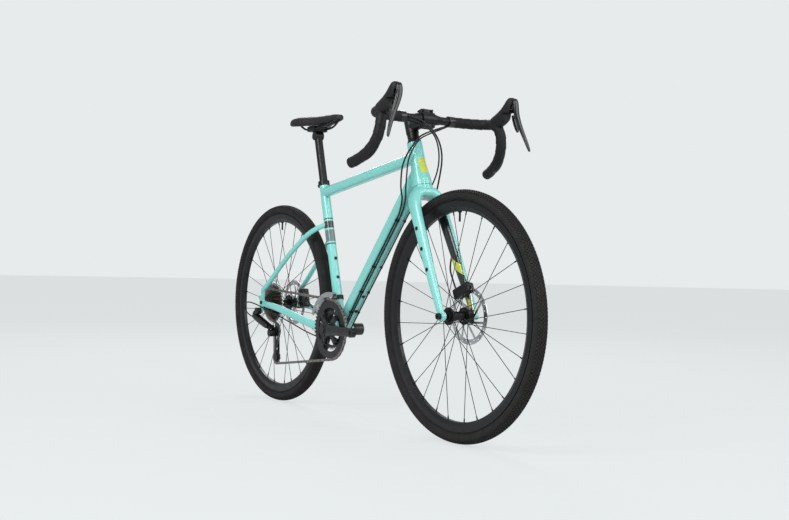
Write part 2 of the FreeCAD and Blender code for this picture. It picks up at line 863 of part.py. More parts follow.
def rotor(centre, side):
    """Brake disc: drilled track on leaning arms around a splined carrier, with its lock ring."""
    near = side - rotor_thickness / 2
    far = side + rotor_thickness / 2
    track_inner = rotor_radius - rotor_track
    track = pipe(along_y(centre, near), along_y(centre, far), rotor_radius, track_inner)
    holes = []
    for count in range(rotor_holes):
        turn = 2 * math.pi * count / rotor_holes
        reach = track_inner + rotor_track * rotor_row_shares[count % 2]
        place = centre + V(math.cos(turn), 0, math.sin(turn)) * reach
        holes.append(disc(place, rotor_hole_radius, near - overrun, far + overrun))
    track = track.cut(Part.makeCompound(holes))
    carrier = pipe(along_y(centre, near), along_y(centre, far), rotor_carrier_radius,
                   rotor_carrier_bore + slip_gap)
    arms = []
    lean = math.radians(rotor_arm_lean)
    arm_root = (rotor_carrier_radius + rotor_carrier_bore) / 2 + rotor_arm_width / 4
    for count in range(rotor_arms):
        turn = 2 * math.pi * count / rotor_arms
        root = centre + V(math.cos(turn), 0, math.sin(turn)) * arm_root
        tip_reach = track_inner + rotor_arm_width / 2
        tip = centre + V(math.cos(turn + lean), 0, math.sin(turn + lean)) * tip_reach
        arms.append(strap(root, tip, rotor_arm_width, near, far))
    disc_plate = fused(track, [carrier] + arms)
    lock = pipe(along_y(centre, far), along_y(centre, far + rotor_lockring_width),
                rotor_lockring_radius, rotor_carrier_bore)
    return Part.makeCompound([disc_plate, lock])


def axle(place, dropout, plate, head_way):
    """Hollow thru axle with a round head on one side and its nut end on the other."""
    outer = dropout + plate
    start = along_y(place, head_way * outer)
    end = along_y(place, -head_way * (outer + axle_nut_length))
    shaft = rod(start, end, axle_radius)
    head = rod(start, along_y(place, head_way * (outer + axle_head_length)), axle_head_radius)
    return bored(fused(shaft, [head]), place, axle_bore_radius, -outer - axle_head_length,
                 outer + axle_head_length)


def caliper(centre, rotor_side, turn_degrees):
    """Two-piston brake body round the rotor's edge, slotted for the disc, with its bolts."""
    turn = math.radians(turn_degrees)
    out = V(math.cos(turn), 0, math.sin(turn))
    along = V(-math.sin(turn), 0, math.cos(turn))
    middle = along_y(centre, rotor_side) + out * (rotor_radius * caliper_radius_share)
    body = block(middle, along, out, caliper_length, caliper_width, caliper_height, caliper_round)
    slot = disc(centre, rotor_radius + caliper_slot, rotor_side - caliper_slot / 2,
                rotor_side + caliper_slot / 2)
    body = body.cut(slot)
    for end in (-1, 1):
        seat = middle + along * (end * (caliper_length / 2 - caliper_bolt_inset))
        top = seat + out * (caliper_height / 2)
        body = body.fuse(rod(seat, top + out * caliper_bolt_proud, caliper_bolt_radius).cut(slot))
    return body.removeSplitter()


# Frame


def head_tube_solid():
    taper_top = head_tube_base_height + head_tube_taper_height
    profile = [(0, 0), (0, head_tube_base_radius), (head_tube_base_height, head_tube_base_radius),
               (taper_top, head_tube_radius), (head_tube_length, head_tube_radius),
               (head_tube_length, 0)]
    return lathe(profile, on_steerer(head_base, 0, 0), steer_up)


def head_tube():
    taper_top = head_tube_base_height + head_tube_taper_height
    base_bore = head_tube_base_radius - head_tube_wall
    bore = head_tube_radius - head_tube_wall
    profile = [(-overrun, 0), (-overrun, base_bore), (head_tube_base_height, base_bore),
               (taper_top, bore), (head_tube_length + overrun, bore),
               (head_tube_length + overrun, 0)]
    hollow = lathe(profile, on_steerer(head_base, 0, 0), steer_up)
    return head_tube_solid().cut(hollow)


def bracket_solid():
    return disc(bracket_place, bracket_shell_radius, -bracket_shell_width, bracket_shell_width)


def bracket_shell():
    half = bracket_shell_width / 2
    return pipe(along_y(bracket_place, -half), along_y(bracket_place, half),
                bracket_shell_radius, bracket_bore_radius)


def hollow_tube(start, end, width, height, reference):
    outer = limb([(start, width / 2, height / 2), (end, width / 2, height / 2)],
                 reference, tube_fullness)
    inner = limb([(start, width / 2 - tube_wall, height / 2 - tube_wall),
                  (end, width / 2 - tube_wall, height / 2 - tube_wall)], reference, tube_fullness)
    return outer.cut(inner)


def largest(shape):
    return max(shape.Solids, key=lambda solid: solid.Volume)


def top_tube():
    tube = hollow_tube(top_seat, top_head, top_tube_width, top_tube_height, upward)
    seat = rod(on_seat_tube(0, 0), on_seat_tube(seat_tube_length + overrun, 0), seat_tube_radius)
    return largest(tube.cut(head_tube_solid()).cut(seat))


def down_tube():
    tube = hollow_tube(bracket_place, down_end, down_tube_width, down_tube_height, down_over)
    tube = largest(tube.cut(head_tube_solid()).cut(bracket_solid()).cut(seat_tube_solid()))
    for place, out in down_inserts():
        tube = tube.cut(insert_hole(place, out))
    return tube


def seat_tube():
    top = on_seat_tube(seat_tube_length, 0)
    tube = pipe(bracket_place, top, seat_tube_radius, seatpost_radius + slip_gap)
    tube = tube.cut(bracket_solid())
    slot_foot = on_seat_tube(seat_tube_length - seat_slot_height, 0)
    slot = Part.makeBox(seat_tube_radius + overrun, seat_slot_width, seat_slot_height + overrun,
                        V(0, -seat_slot_width / 2, 0))
    slot.Placement = FreeCAD.Placement(slot_foot, FreeCAD.Rotation(-seat_ahead, -aside, seat_up, "XYZ"))
    tube = largest(tube.cut(slot))
    for place, out in seat_inserts():
        tube = tube.cut(insert_hole(place, out))
    return tube


def seat_tube_solid():
    return rod(bracket_place, on_seat_tube(seat_tube_length, 0), seat_tube_radius)


def stay_end(reach, lean):
    """Place beside the rear axle where a stay runs into the dropout plate."""
    turn = math.radians(lean)
    return rear_axle_place + V(math.cos(turn), 0, math.sin(turn)) * reach


chainstay_slope = math.degrees(math.asin(-bracket_drop / chainstay_length))
chainstay_end = stay_end(chainstay_end_reach, chainstay_slope)
seatstay_end = stay_end(seatstay_end_reach, seatstay_end_lean)
dropout_middle = dropout_side + dropout_thickness / 2


def chainstays():
    stations = []
    for along, side, rise, high, wide in chainstay_shares:
        x = bracket_place.x + (chainstay_end.x - bracket_place.x) * along
        z = bracket_place.z + (chainstay_end.z - bracket_place.z) * rise
        y = chainstay_root_side + (dropout_middle - chainstay_root_side) * (side - 1) / 2
        stations.append((V(x, -y, z), chainstay_width / 2 * wide, chainstay_height / 2 * high))
    stay = limb(stations, upward, tube_fullness)
    stay = stay.cut(bracket_solid()).cut(seat_tube_solid()).cut(dropout_plate(-1))
    return Part.makeCompound(both_sides(largest(stay)))


def seatstays():
    top = on_seat_tube(seat_tube_length - seatstay_drop, 0)
    stations = []
    for along, side, fall in seatstay_shares:
        place = V(top.x + (seatstay_end.x - top.x) * along, -dropout_middle * side,
                  top.z + (seatstay_end.z - top.z) * fall)
        stations.append((place, seatstay_width / 2, seatstay_height / 2))
    stay = limb(stations, upward, tube_fullness)
    half_space = Part.makeBox(wheelbase, dropout_side, wheelbase, V(-wheelbase, 0, 0))
    stay = stay.cut(seat_tube_solid()).cut(half_space).cut(dropout_plate(-1))
    return Part.makeCompound(both_sides(largest(stay)))


def dropout_plate(way):
    near = way * dropout_side
    far = way * (dropout_side + dropout_thickness)
    low, high = min(near, far), max(near, far)
    eye = disc(rear_axle_place, dropout_eye_radius, low, high)
    arms = [strap(rear_axle_place, chainstay_end, dropout_arm_width, low, high),
            strap(rear_axle_place, seatstay_end, dropout_arm_width, low, high)]
    rack_eye = stay_end(rack_eye_reach, rack_eye_turn)
    arms.append(strap(rear_axle_place, rack_eye, 2 * rack_eye_radius, low, high))
    if way < 0:
        arms.append(strap(rear_axle_place, hanger_bolt, hanger_width, low, high))
    plate = fused(eye, arms)
    plate = bored(plate, rear_axle_place, axle_radius + slip_gap, low, high)
    plate = bored(plate, rack_eye, insert_bore, low, high)
    if way < 0:
        plate = bored(plate, hanger_bolt, cage_pivot_radius + slip_gap, low, high)
    return plate


def insert_hole(place, out):
    return rod(place - out * (insert_depth + overrun), place + out * overrun,
               insert_radius + slip_gap)


def insert(place, out, depth):
    """Threaded insert: a barrel in the tube wall under a thin flange, bored through."""
    barrel = rod(place - out * depth, place, insert_radius)
    flange = rod(place, place + out * insert_flange_height, insert_flange_radius)
    tool = rod(place - out * (depth + overrun), place + out * (insert_flange_height + overrun),
               insert_bore)
    return fused(barrel, [flange]).cut(tool)


def seat_inserts():
    places = []
    for count in range(2):
        height = seat_insert_height + count * insert_spacing
        places.append((on_seat_tube(height, seat_tube_radius), seat_ahead))
    return places


def down_inserts():
    places = []
    for count in range(2):
        top = down_insert_top_height + count * insert_spacing
        under = down_insert_under_height + count * insert_spacing
        places.append((on_down_tube(top, down_tube_height / 2, 0), down_over))
        places.append((on_down_tube(under, -down_tube_height / 2, 0), -down_over))
    return places


def frame_inserts():
    places = seat_inserts() + down_inserts()
    return Part.makeCompound([insert(place, out, insert_depth) for place, out in places])


def seat_clamp():
    """Split collar on the seat tube's top with two ears and their bolt behind."""
    low = on_seat_tube(seat_tube_length - seat_clamp_height + seat_clamp_lip, 0)
    high = on_seat_tube(seat_tube_length + seat_clamp_lip, 0)
    outer = seat_tube_radius + seat_clamp_wall
    middle = on_seat_tube(seat_tube_length + seat_clamp_lip - seat_clamp_height / 2, -outer)
    collar = rod(low, high, outer)
    ears = block(middle, seat_ahead, seat_up, seat_clamp_ear * 2, seat_clamp_ear_width,
                 seat_clamp_height - seat_clamp_lip, seat_clamp_lip)
    collar = fused(collar, [ears])
    collar = collar.cut(rod(low - seat_up * overrun, high - seat_up * seat_clamp_lip,
                            seat_tube_radius + slip_gap))
    collar = collar.cut(rod(low, high + seat_up * overrun, seatpost_radius + slip_gap))
    gap = Part.makeBox(outer + seat_clamp_ear * 2, seat_slot_width, seat_clamp_height * 2,
                       V(0, -seat_slot_width / 2, -seat_clamp_height))
    gap.Placement = FreeCAD.Placement(low, FreeCAD.Rotation(-seat_ahead, -aside, seat_up, "XYZ"))
    bolt_place = middle - seat_ahead * (seat_clamp_ear / 2)
    half = seat_clamp_ear_width / 2 + seat_clamp_lip
    bolt = disc(bolt_place, seat_clamp_bolt_radius, -half, half)
    return fused(collar.cut(gap), [bolt])


def bracket_cups():
    half = bracket_shell_width / 2
    bore = spindle_radius + running_gap
    profile = [(half - cup_sleeve_length, bore), (half - cup_sleeve_length, bracket_bore_radius - slip_gap),
               (half, bracket_bore_radius - slip_gap), (half, cup_radius),
               (half + cup_width, cup_radius), (half + cup_width, bore)]
    return Part.makeCompound(both_sides(lathe(profile, bracket_place, aside)))


def headset_bearings():
    """Bearing rings in both ends of the head tube, running on the steerer."""
    low = on_steerer(fork_length + face_gap, 0, 0)
    low_top = on_steerer(head_base + head_bearing_height, 0, 0)
    high = on_steerer(head_top - head_bearing_height, 0, 0)
    high_top = on_steerer(head_top, 0, 0)
    lower = pipe(low, low_top, head_tube_base_radius - head_tube_wall - slip_gap,
                 steerer_base_radius + running_gap)
    upper = pipe(high, high_top, head_tube_radius - head_tube_wall - slip_gap,
                 steerer_radius + running_gap)
    return Part.makeCompound([lower, upper])


# Fork and front end


def fork_leg_stations():
    stations = []
    for height, ahead, side, depth, width in fork_shares:
        place = on_steerer(fork_length * height, fork_rake * ahead, -fork_half_span * side)
        stations.append((place, fork_leg_width / 2 * width, fork_leg_depth / 2 * depth))
    return stations


def fork_leg_face(height):
    """Outer face of the right leg at a height above the axle's foot."""
    stations = fork_leg_stations()
    foot_up = [(place - steer_foot).dot(steer_up) for place, _, _ in stations]
    for index in range(len(stations) - 1):
        if foot_up[index] >= height >= foot_up[index + 1]:
            share = (foot_up[index] - height) / (foot_up[index] - foot_up[index + 1])
            first, second = stations[index], stations[index + 1]
            centre = first[0] + (second[0] - first[0]) * share
            half = first[1] + (second[1] - first[1]) * share
            return centre - aside * half
    return stations[-1][0]


def fork_body():
    right = fork_leg_stations()
    left = [(V(place.x, -place.y, place.z), wide, deep) for place, wide, deep in right[1:]]
    arch = limb(left[::-1] + right, steer_ahead, tube_fullness)
    inner = front_hub_width / 2
    foot = disc(front_axle_place, fork_dropout_radius, -inner - fork_dropout_width, -inner)
    wheel_side = disc(front_axle_place, fork_leg_depth, -inner, inner)
    legs = fused(arch, both_sides(foot)).cut(wheel_side)
    crown = rod(on_steerer(fork_length - fork_crown_height, 0, 0), on_steerer(fork_length, 0, 0),
                fork_crown_radius)
    steerer_top = stem_height + stem_clamp_height / 2
    profile = [(0, 0), (0, steerer_base_radius), (head_bearing_height + crown_gap, steerer_base_radius),
               (steerer_taper_height + crown_gap, steerer_radius),
               (steerer_top - fork_length, steerer_radius), (steerer_top - fork_length, 0)]
    steerer = lathe(profile, on_steerer(fork_length, 0, 0), steer_up)
    body = fused(legs, [crown, steerer])
    above = Part.makeBox(4 * fork_half_span, 4 * fork_half_span, fork_half_span)
    above.translate(V(-2 * fork_half_span, -2 * fork_half_span, 0))
    ring = pipe(V(0, 0, -overrun), V(0, 0, fork_half_span + overrun), 2 * fork_half_span,
                steerer_base_radius)
    above = above.common(ring)
    above.Placement = FreeCAD.Placement(on_steerer(fork_length, 0, 0),
                                        FreeCAD.Rotation(steer_ahead, aside, steer_up, "XYZ"))
    body = largest(body.cut(above))
    outer = inner + fork_dropout_width
    spot = disc(front_axle_place, axle_head_radius + face_gap, -outer - fork_dropout_width, -outer)
    body = body.cut(spot).cut(mirrored(spot))
    return bored(body, front_axle_place, axle_radius + slip_gap, -outer, outer)


def fork_insert_places():
    places = []
    for count in range(3):
        height = fork_insert_height + count * fork_insert_spacing
        places.append(fork_leg_face(height))
    return places


def fork():
    body = fork_body()
    for place in fork_insert_places():
        hole = rod(place + aside * (fork_insert_depth + face_gap), place - aside * overrun,
                   insert_radius + slip_gap)
        body = body.cut(hole).cut(mirrored(hole))
    return body


def fork_inserts(fork_shape):
    solids = []
    for place in fork_insert_places():
        seated = insert(place, -aside, fork_insert_depth).cut(fork_shape)
        solids += both_sides(largest(seated))
    return Part.makeCompound(solids)


def front_caliper(fork_shape):
    body = caliper(front_axle_place, front_rotor_side, front_caliper_turn)
    return largest(body.cut(fork_shape))


def rear_caliper():
    body = caliper(rear_axle_place, rear_rotor_side, rear_caliper_turn)
    return largest(body.cut(dropout_plate(1)).cut(chainstays()).cut(seatstays()))


def headset_spacers():
    """Cover over the upper bearing, spacer rings under the stem and the top cap over it."""
    bore = steerer_radius + slip_gap
    base = head_top + face_gap
    cover = lathe([(0, bore), (0, head_tube_radius), (headset_cover_height, headset_cover_top_radius),
                   (headset_cover_height, bore)], on_steerer(base, 0, 0), steer_up)
    solids = [cover]
    for count in range(spacer_count):
        low = base + headset_cover_height + count * spacer_height
        solids.append(pipe(on_steerer(low, 0, 0), on_steerer(low + spacer_height - spacer_groove, 0, 0),
                           spacer_radius, bore))
    top = stem_height + stem_clamp_height / 2
    cap = lathe([(0, 0), (0, top_cap_radius), (top_cap_height / 2, top_cap_radius),
                 (top_cap_height, top_cap_bolt_radius), (top_cap_height, 0)],
                on_steerer(top, 0, 0), steer_up)
    return Part.makeCompound(solids + [cap])


def stem_split(behind):
    """Half space behind or ahead of the handlebar clamp's parting plane."""
    size = stem_length * 4
    shift = -size if behind else 0
    box = Part.makeBox(size, size, size, V(shift, -size / 2, -size / 2))
    gap = stem_along * (stem_split_gap / 2)
    place = bar_centre - gap if behind else bar_centre + gap
    over = stem_along.cross(aside)
    box.Placement = FreeCAD.Placement(place, FreeCAD.Rotation(stem_along, aside, over, "XYZ"))
    return box


def bar_clamp_ring():
    half = stem_face_width / 2
    over = stem_along.cross(aside)
    ring = disc(bar_centre, stem_face_radius, -half, half)
    lugs = []
    for end in (-1, 1):
        place = bar_centre + over * (end * stem_face_radius)
        lugs.append(block(place, stem_along, over, stem_lug_depth * 2, stem_face_width,
                          stem_bolt_radius * 4, stem_bolt_radius))
    ring = fused(ring, lugs)
    return bored(ring, bar_centre, bar_clamp_radius + slip_gap, -half, half)


def stem():
    clamp = rod(on_steerer(stem_height - stem_clamp_height / 2, 0, 0),
                on_steerer(stem_height + stem_clamp_height / 2, 0, 0), stem_clamp_radius)
    bridge = rod(stem_root, bar_centre, stem_body_radius)
    body = fused(clamp, [bridge, bar_clamp_ring()])
    body = bored(body, bar_centre, bar_clamp_radius + slip_gap, -stem_face_width, stem_face_width)
    steerer = rod(on_steerer(stem_height - stem_clamp_height, 0, 0),
                  on_steerer(stem_height + stem_clamp_height, 0, 0), steerer_radius + slip_gap)
    return largest(body.cut(steerer).common(stem_split(True)))


def stem_faceplate():
    """Front half of the handlebar clamp with its four bolts."""
    plate = bar_clamp_ring().common(stem_split(False))
    over = stem_along.cross(aside)
    bolts = []
    for high in (-1, 1):
        for side in (-1, 1):
            seat = (bar_centre + over * (high * (stem_face_radius + stem_bolt_radius / 2))
                    + aside * (side * stem_bolt_spread) + stem_along * stem_lug_depth)
            bolts.append(rod(seat - stem_along * stem_bolt_head, seat + stem_along * stem_bolt_head,
                             stem_bolt_radius))
    return fused(plate, bolts)


def bar_point(reach, half, drop, side):
    return bar_centre + V(bar_reach * reach, side * bar_half_width * half, -bar_drop * drop)


def bar_side_path():
    return [bar_point(reach, half, drop, -1) for reach, half, drop in bar_shares]


def handlebar():
    centre = disc(bar_centre, bar_clamp_radius, -bar_bulge_half, bar_bulge_half)
    taper = Part.makeCone(bar_clamp_radius, bar_radius, bar_taper_end - bar_bulge_half,
                          along_y(bar_centre, -bar_bulge_half), -aside)
    path = bar_side_path()
    drop, length, least = bent_rod([along_y(bar_centre, -bar_bulge_half)] + path[1:], bar_radius)
    print(f"handlebar side: length {length:.0f}, least bend {least:.1f}")
    half = [taper, drop]
    return fused(centre, half + [mirrored(piece) for piece in half])


def tape_skin(radius):
    path = bar_side_path()
    path[0] = along_y(bar_centre, -tape_start)
    skin, _, _ = bent_rod(path, radius)
    return skin


def bar_tape():
    """Wrapped covering of the handlebar with an end plug each side."""
    path = bar_side_path()
    outer = bar_radius + tape_thickness
    core, _, _ = bent_rod([along_y(bar_centre, -bar_bulge_half)] + path[1:], bar_radius + slip_gap)
    wrap = tape_skin(outer).cut(core)
    end = path[-1]
    out = unit(path[-1] - path[-2])
    plug = rod(end, end + out * plug_length, outer)
    wraps = both_sides(wrap) + both_sides(plug)
    return Part.makeCompound(wraps)


def hood_point(reach, rise):
    return bar_centre + V(hood_reach * reach, -hood_side, hood_rise * rise)


def lever_pivot():
    return bar_centre + V(lever_pivot_ahead, -hood_side, lever_pivot_above)


def right_hood():
    """Hood body with a bay for the lever's lug, room for the paddle below, and the hinge pin."""
    stations = [(hood_point(reach, rise), hood_width / 2 * wide, hood_depth / 2 * deep)
                for reach, rise, wide, deep in hood_shares]
    body = limb(stations, upward, tube_fullness)
    pivot = lever_pivot()
    size = hood_reach
    half = lever_width / 2 + lever_bay_side
    bay = Part.makeBox(size, 2 * half, size, V(pivot.x - lever_bay_behind, pivot.y - half,
                                               pivot.z + lever_bay_above - size))
    room = Part.makeBox(size, 2 * hood_width, size, V(pivot.x - paddle_bay_behind, pivot.y - hood_width,
                                                      pivot.z - paddle_bay_below - size))
    body = largest(body.cut(tape_skin(bar_radius + tape_thickness + slip_gap)).cut(bay).cut(room))
    pin = disc(pivot, lever_pin_radius, pivot.y - half - lever_pin_bite, pivot.y + half + lever_pin_bite)
    return fused(body, [pin])


def brake_hoods():
    return Part.makeCompound(both_sides(right_hood()))


def lever_point(drop, ahead, flare):
    return lever_pivot() + V(lever_sweep * ahead, -lever_flare * flare, -lever_length * drop)


def paddle_point(along):
    """Point down the shift paddle's middle line, behind the lever blade."""
    top = lever_point(paddle_top_share, lever_shares[2][1], lever_shares[2][2])
    foot = lever_point(paddle_foot_share, lever_shares[3][1], lever_shares[3][2])
    return top - forward * (paddle_behind + lever_depth / 4) + unit(foot - top) * (paddle_length * along)


def paddle_pivot():
    return paddle_point(paddle_pivot_share)


def right_brake_lever():
    """Lever blade with its hinge lug, and the pin behind it that carries the shift paddle."""
    stations = [(lever_point(drop, ahead, flare), lever_width / 2 * wide, lever_depth / 2 * deep)
                for drop, ahead, flare, wide, deep in lever_shares]
    pivot = paddle_pivot()
    pin = rod(pivot - forward * paddle_depth, pivot + forward * paddle_behind, paddle_pin_radius)
    hinge = lever_pivot()
    low = hinge.y - lever_lug_width / 2
    high = hinge.y + lever_lug_width / 2
    lug = strap(hinge, stations[1][0], 2 * lever_lug_radius, low, high)
    lever = fused(limb(stations, forward, tube_fullness), [lug, pin])
    return bored(lever, hinge, lever_pin_radius + running_gap, low, high)


def right_shift_paddle():
    stations = [(paddle_point(along), paddle_width / 2 * wide, paddle_depth / 2 * deep)
                for along, wide, deep in paddle_shares]
    pivot = paddle_pivot()
    hole = rod(pivot - forward * paddle_behind, pivot + forward * paddle_behind,
               paddle_pin_radius + running_gap)
    return limb(stations, forward, tube_fullness).cut(hole)


# Seat


def seatpost():
    """Post with a cross barrel at its head; the rail clamp sits on the barrel."""
    low = on_seat_tube(seat_tube_length - post_insertion, 0)
    barrel = disc(rail_centre, post_head_radius, -post_head_width / 2, post_head_width / 2)
    barrel.translate(seat_up * -(rail_clamp_height / 2 + post_head_radius))
    shaft = rod(low, rail_centre - seat_up * (rail_clamp_height / 2 + post_head_radius), seatpost_radius)
    return fused(shaft, [barrel])


def rail_point(along, side, rise):
    x = rail_centre.x - saddle_setback + saddle_length * along
    return V(x, -rail_spacing / 2 * side, rail_centre.z + saddle_rise * rise)


def right_rail():
    rail, _, _ = bent_rod([rail_point(*shares) for shares in rail_shares], rail_radius)
    return rail


def saddle_rails():
    rail = right_rail().cut(saddle())
    return Part.makeCompound(both_sides(largest(rail)))


def rail_clamp():
    """Clamp plates over and under the rails, held by two bolts to the post's head."""
    body = block(rail_centre, forward, upward, rail_clamp_length,
                 rail_spacing + 4 * rail_radius, rail_clamp_height, rail_radius)
    bolts = []
    for end in (-1, 1):
        place = rail_centre + forward * (end * (rail_clamp_length / 2 - 2 * rail_bolt_radius))
        bolts.append(rod(place, place + upward * (rail_clamp_height / 2 + rail_bolt_radius),
                         rail_bolt_radius))
    body = fused(body, bolts)
    return largest(body.cut(seatpost()).cut(Part.makeCompound(both_sides(right_rail()))))


def saddle_section(along, wide, crest, deep):
    x = rail_centre.x - saddle_setback + saddle_length * along
    top = rail_centre.z + saddle_rise * crest
    half = [V(x, saddle_width / 2 * wide * across, top - saddle_depth * deep * fall)
            for across, fall in saddle_section_shares]
    other = [V(x, 2 * rail_centre.y - point.y, point.z) for point in reversed(half[1:-1])]
    curve = Part.BSplineCurve()
    curve.interpolate(Points=half + other, PeriodicFlag=True)
    return Part.Wire(curve.toShape())


def saddle():
    """Cushion and shell: crowned top, wide wings behind, drawn-in sides and hollow underside."""
    return Part.makeLoft([saddle_section(*shares) for shares in saddle_shares], True)


# Drive train


def ring_solid(teeth, side, phase):
    """Chainring: thin toothed edge on a thicker band with tabs for the spider bolts."""
    centre = along_y(bracket_place, side)
    radius = pitch_radius(teeth)
    teeth_disc = toothed_disc(teeth, centre, phase, chain_tooth_width)
    half = ring_thickness / 2
    band_outer = radius - ring_tooth_root
    band_inner = max(band_outer - ring_band, ring_bolt_circle - ring_tab_radius / 2)
    band_inner = min(band_inner, band_outer - ring_band / 4)
    teeth_disc = bored(teeth_disc, centre, band_inner, side - half, side + half)
    band = pipe(along_y(centre, side - half), along_y(centre, side + half), band_outer, band_inner)
    tabs = []
    for place in ring_bolt_places():
        out = unit(V(place.x - centre.x, 0, place.z - centre.z))
        tip = V(centre.x, 0, centre.z) + out * ((band_inner + band_outer) / 2)
        tab = strap(place, tip, 2 * ring_tab_radius, side - half, side + half)
        tabs.append(tab.common(disc(centre, band_outer, side - half, side + half)))
    body = fused(band, [teeth_disc] + tabs)
    for place in ring_bolt_places():
        body = bored(body, place, ring_bolt_radius + slip_gap, side - half, side + half)
    return bored(body, centre, crank_boss_radius + spider_arm_width / 2, side - half, side + half)


def ring_bolt_places():
    places = []
    for count in range(spider_arms):
        turn = 2 * math.pi * (count + spider_start_share) / spider_arms
        places.append(bracket_place + V(math.cos(turn), 0, math.sin(turn)) * ring_bolt_circle)
    return places


def chainrings():
    outer_face = ring_side - ring_thickness / 2 - spider_thickness
    inner_face = inner_ring_side + ring_thickness / 2
    solids = [ring_solid(outer_ring_teeth, ring_side, ring_phase),
              ring_solid(inner_ring_teeth, inner_ring_side, ring_phase)]
    for place in ring_bolt_places():
        shank = disc(place, ring_bolt_radius, outer_face, inner_face)
        head = disc(place, ring_bolt_head_radius, outer_face - ring_bolt_head_height, outer_face)
        sleeve = disc(place, ring_bolt_head_radius, ring_side + ring_thickness / 2,
                      inner_ring_side - ring_thickness / 2)
        solids.append(fused(shank, [head, sleeve]))
    return Part.makeCompound(solids)


def crank_arm(way):
    """Crank arm out to the pedal eye, forward on the right side and rearward on the left."""
    lead = V(-way, 0, 0)
    middle = way * (crank_tread / 2 - crank_thickness / 2)
    stations = []
    for along, high, thick in crank_shares:
        place = along_y(bracket_place, middle) + lead * (crank_length * along)
        stations.append((place, crank_thickness / 2 * thick, crank_height / 2 * high))
    near = middle - crank_thickness / 2
    far = middle + crank_thickness / 2
    boss = disc(bracket_place, crank_boss_radius, near, far)
    pedal = bracket_place + lead * crank_length
    eye = disc(pedal, crank_eye_radius, near, far)
    arm = fused(limb(stations, upward, crank_fullness), [boss, eye])
    return bored(arm, pedal, pedal_thread_radius, near, far)


def right_crank():
    """Right arm with its spider outside the chainrings and the spindle through the cups."""
    arm = crank_arm(-1)
    spider_far = ring_side - ring_thickness / 2
    spider_near = spider_far - spider_thickness
    arm_face = -crank_tread / 2 + crank_thickness
    solids = [disc(bracket_place, spindle_radius, -crank_tread / 2 + crank_thickness / 2,
                   crank_tread / 2 - crank_thickness / 2)]
    solids.append(disc(bracket_place, crank_boss_radius, arm_face, spider_far))
    for place in ring_bolt_places():
        leg = strap(bracket_place, place, spider_arm_width, spider_near, spider_far)
        solids.append(bored(leg, place, ring_bolt_radius + slip_gap, spider_near, spider_far))
    cap = disc(bracket_place, crank_cap_radius, -crank_tread / 2 - crank_cap_height,
               -crank_tread / 2 + crank_cap_height)
    return fused(arm, solids + [cap])


def left_crank():
    arm = crank_arm(1)
    near = bracket_shell_width / 2 + cup_width + face_gap
    inner = crank_tread / 2 - crank_thickness
    collar = disc(bracket_place, crank_boss_radius, near, inner)
    cap = disc(bracket_place, crank_cap_radius, crank_tread / 2 - crank_cap_height,
               crank_tread / 2 + crank_cap_height)
    body = fused(arm, [collar, cap])
    return body.cut(disc(bracket_place, spindle_radius + slip_gap, near - overrun,
                         crank_tread / 2 - crank_thickness / 2))


def cog_side(index):
    return chain_side + (index - chain_cog) * cassette_spacing


def sprocket(index):
    """One toothed cog: a band with arms to the splined body, or a plain disc if small."""
    teeth = cassette_teeth[index]
    side = cog_side(index)
    centre = along_y(rear_axle_place, side)
    half = chain_tooth_width / 2
    root = pitch_radius(teeth) - roller_radius
    cog = toothed_disc(teeth, centre, cog_phase, chain_tooth_width)
    window = root - cassette_band
    carrier = cassette_body_radius + cassette_arm_width
    if window > carrier:
        gap = pipe(along_y(centre, side - half - overrun), along_y(centre, side + half + overrun),
                   window, carrier)
        arms = []
        for count in range(cassette_arms):
            turn = 2 * math.pi * count / cassette_arms
            tip = centre + V(math.cos(turn), 0, math.sin(turn)) * root
            arms.append(strap(centre, tip, cassette_arm_width, side - half - overrun,
                              side + half + overrun))
        cog = cog.cut(gap.cut(Part.makeCompound(arms)))
    return bored(cog, centre, cassette_body_radius, side - half, side + half)


def cassette():
    """Eleven cogs on the freehub body with spacers between them and the lock ring outside."""
    last = len(cassette_teeth) - 1
    half = chain_tooth_width / 2
    solids = [sprocket(index) for index in range(last + 1)]
    for index in range(last):
        near = cog_side(index) + half
        far = cog_side(index + 1) - half
        ring = pipe(along_y(rear_axle_place, near), along_y(rear_axle_place, far),
                    cassette_body_radius + cassette_arm_width / 4, cassette_body_radius)
        solids.append(ring)
    outer = cog_side(0) - half
    inner = cog_side(last) + half
    bore = hub_cap_radius + running_gap
    body = pipe(along_y(rear_axle_place, outer), along_y(rear_axle_place, inner), freehub_radius, bore)
    lock = pipe(along_y(rear_axle_place, outer - lockring_width), along_y(rear_axle_place, outer),
                lockring_radius, bore)
    return Part.makeCompound(solids + [body, lock])


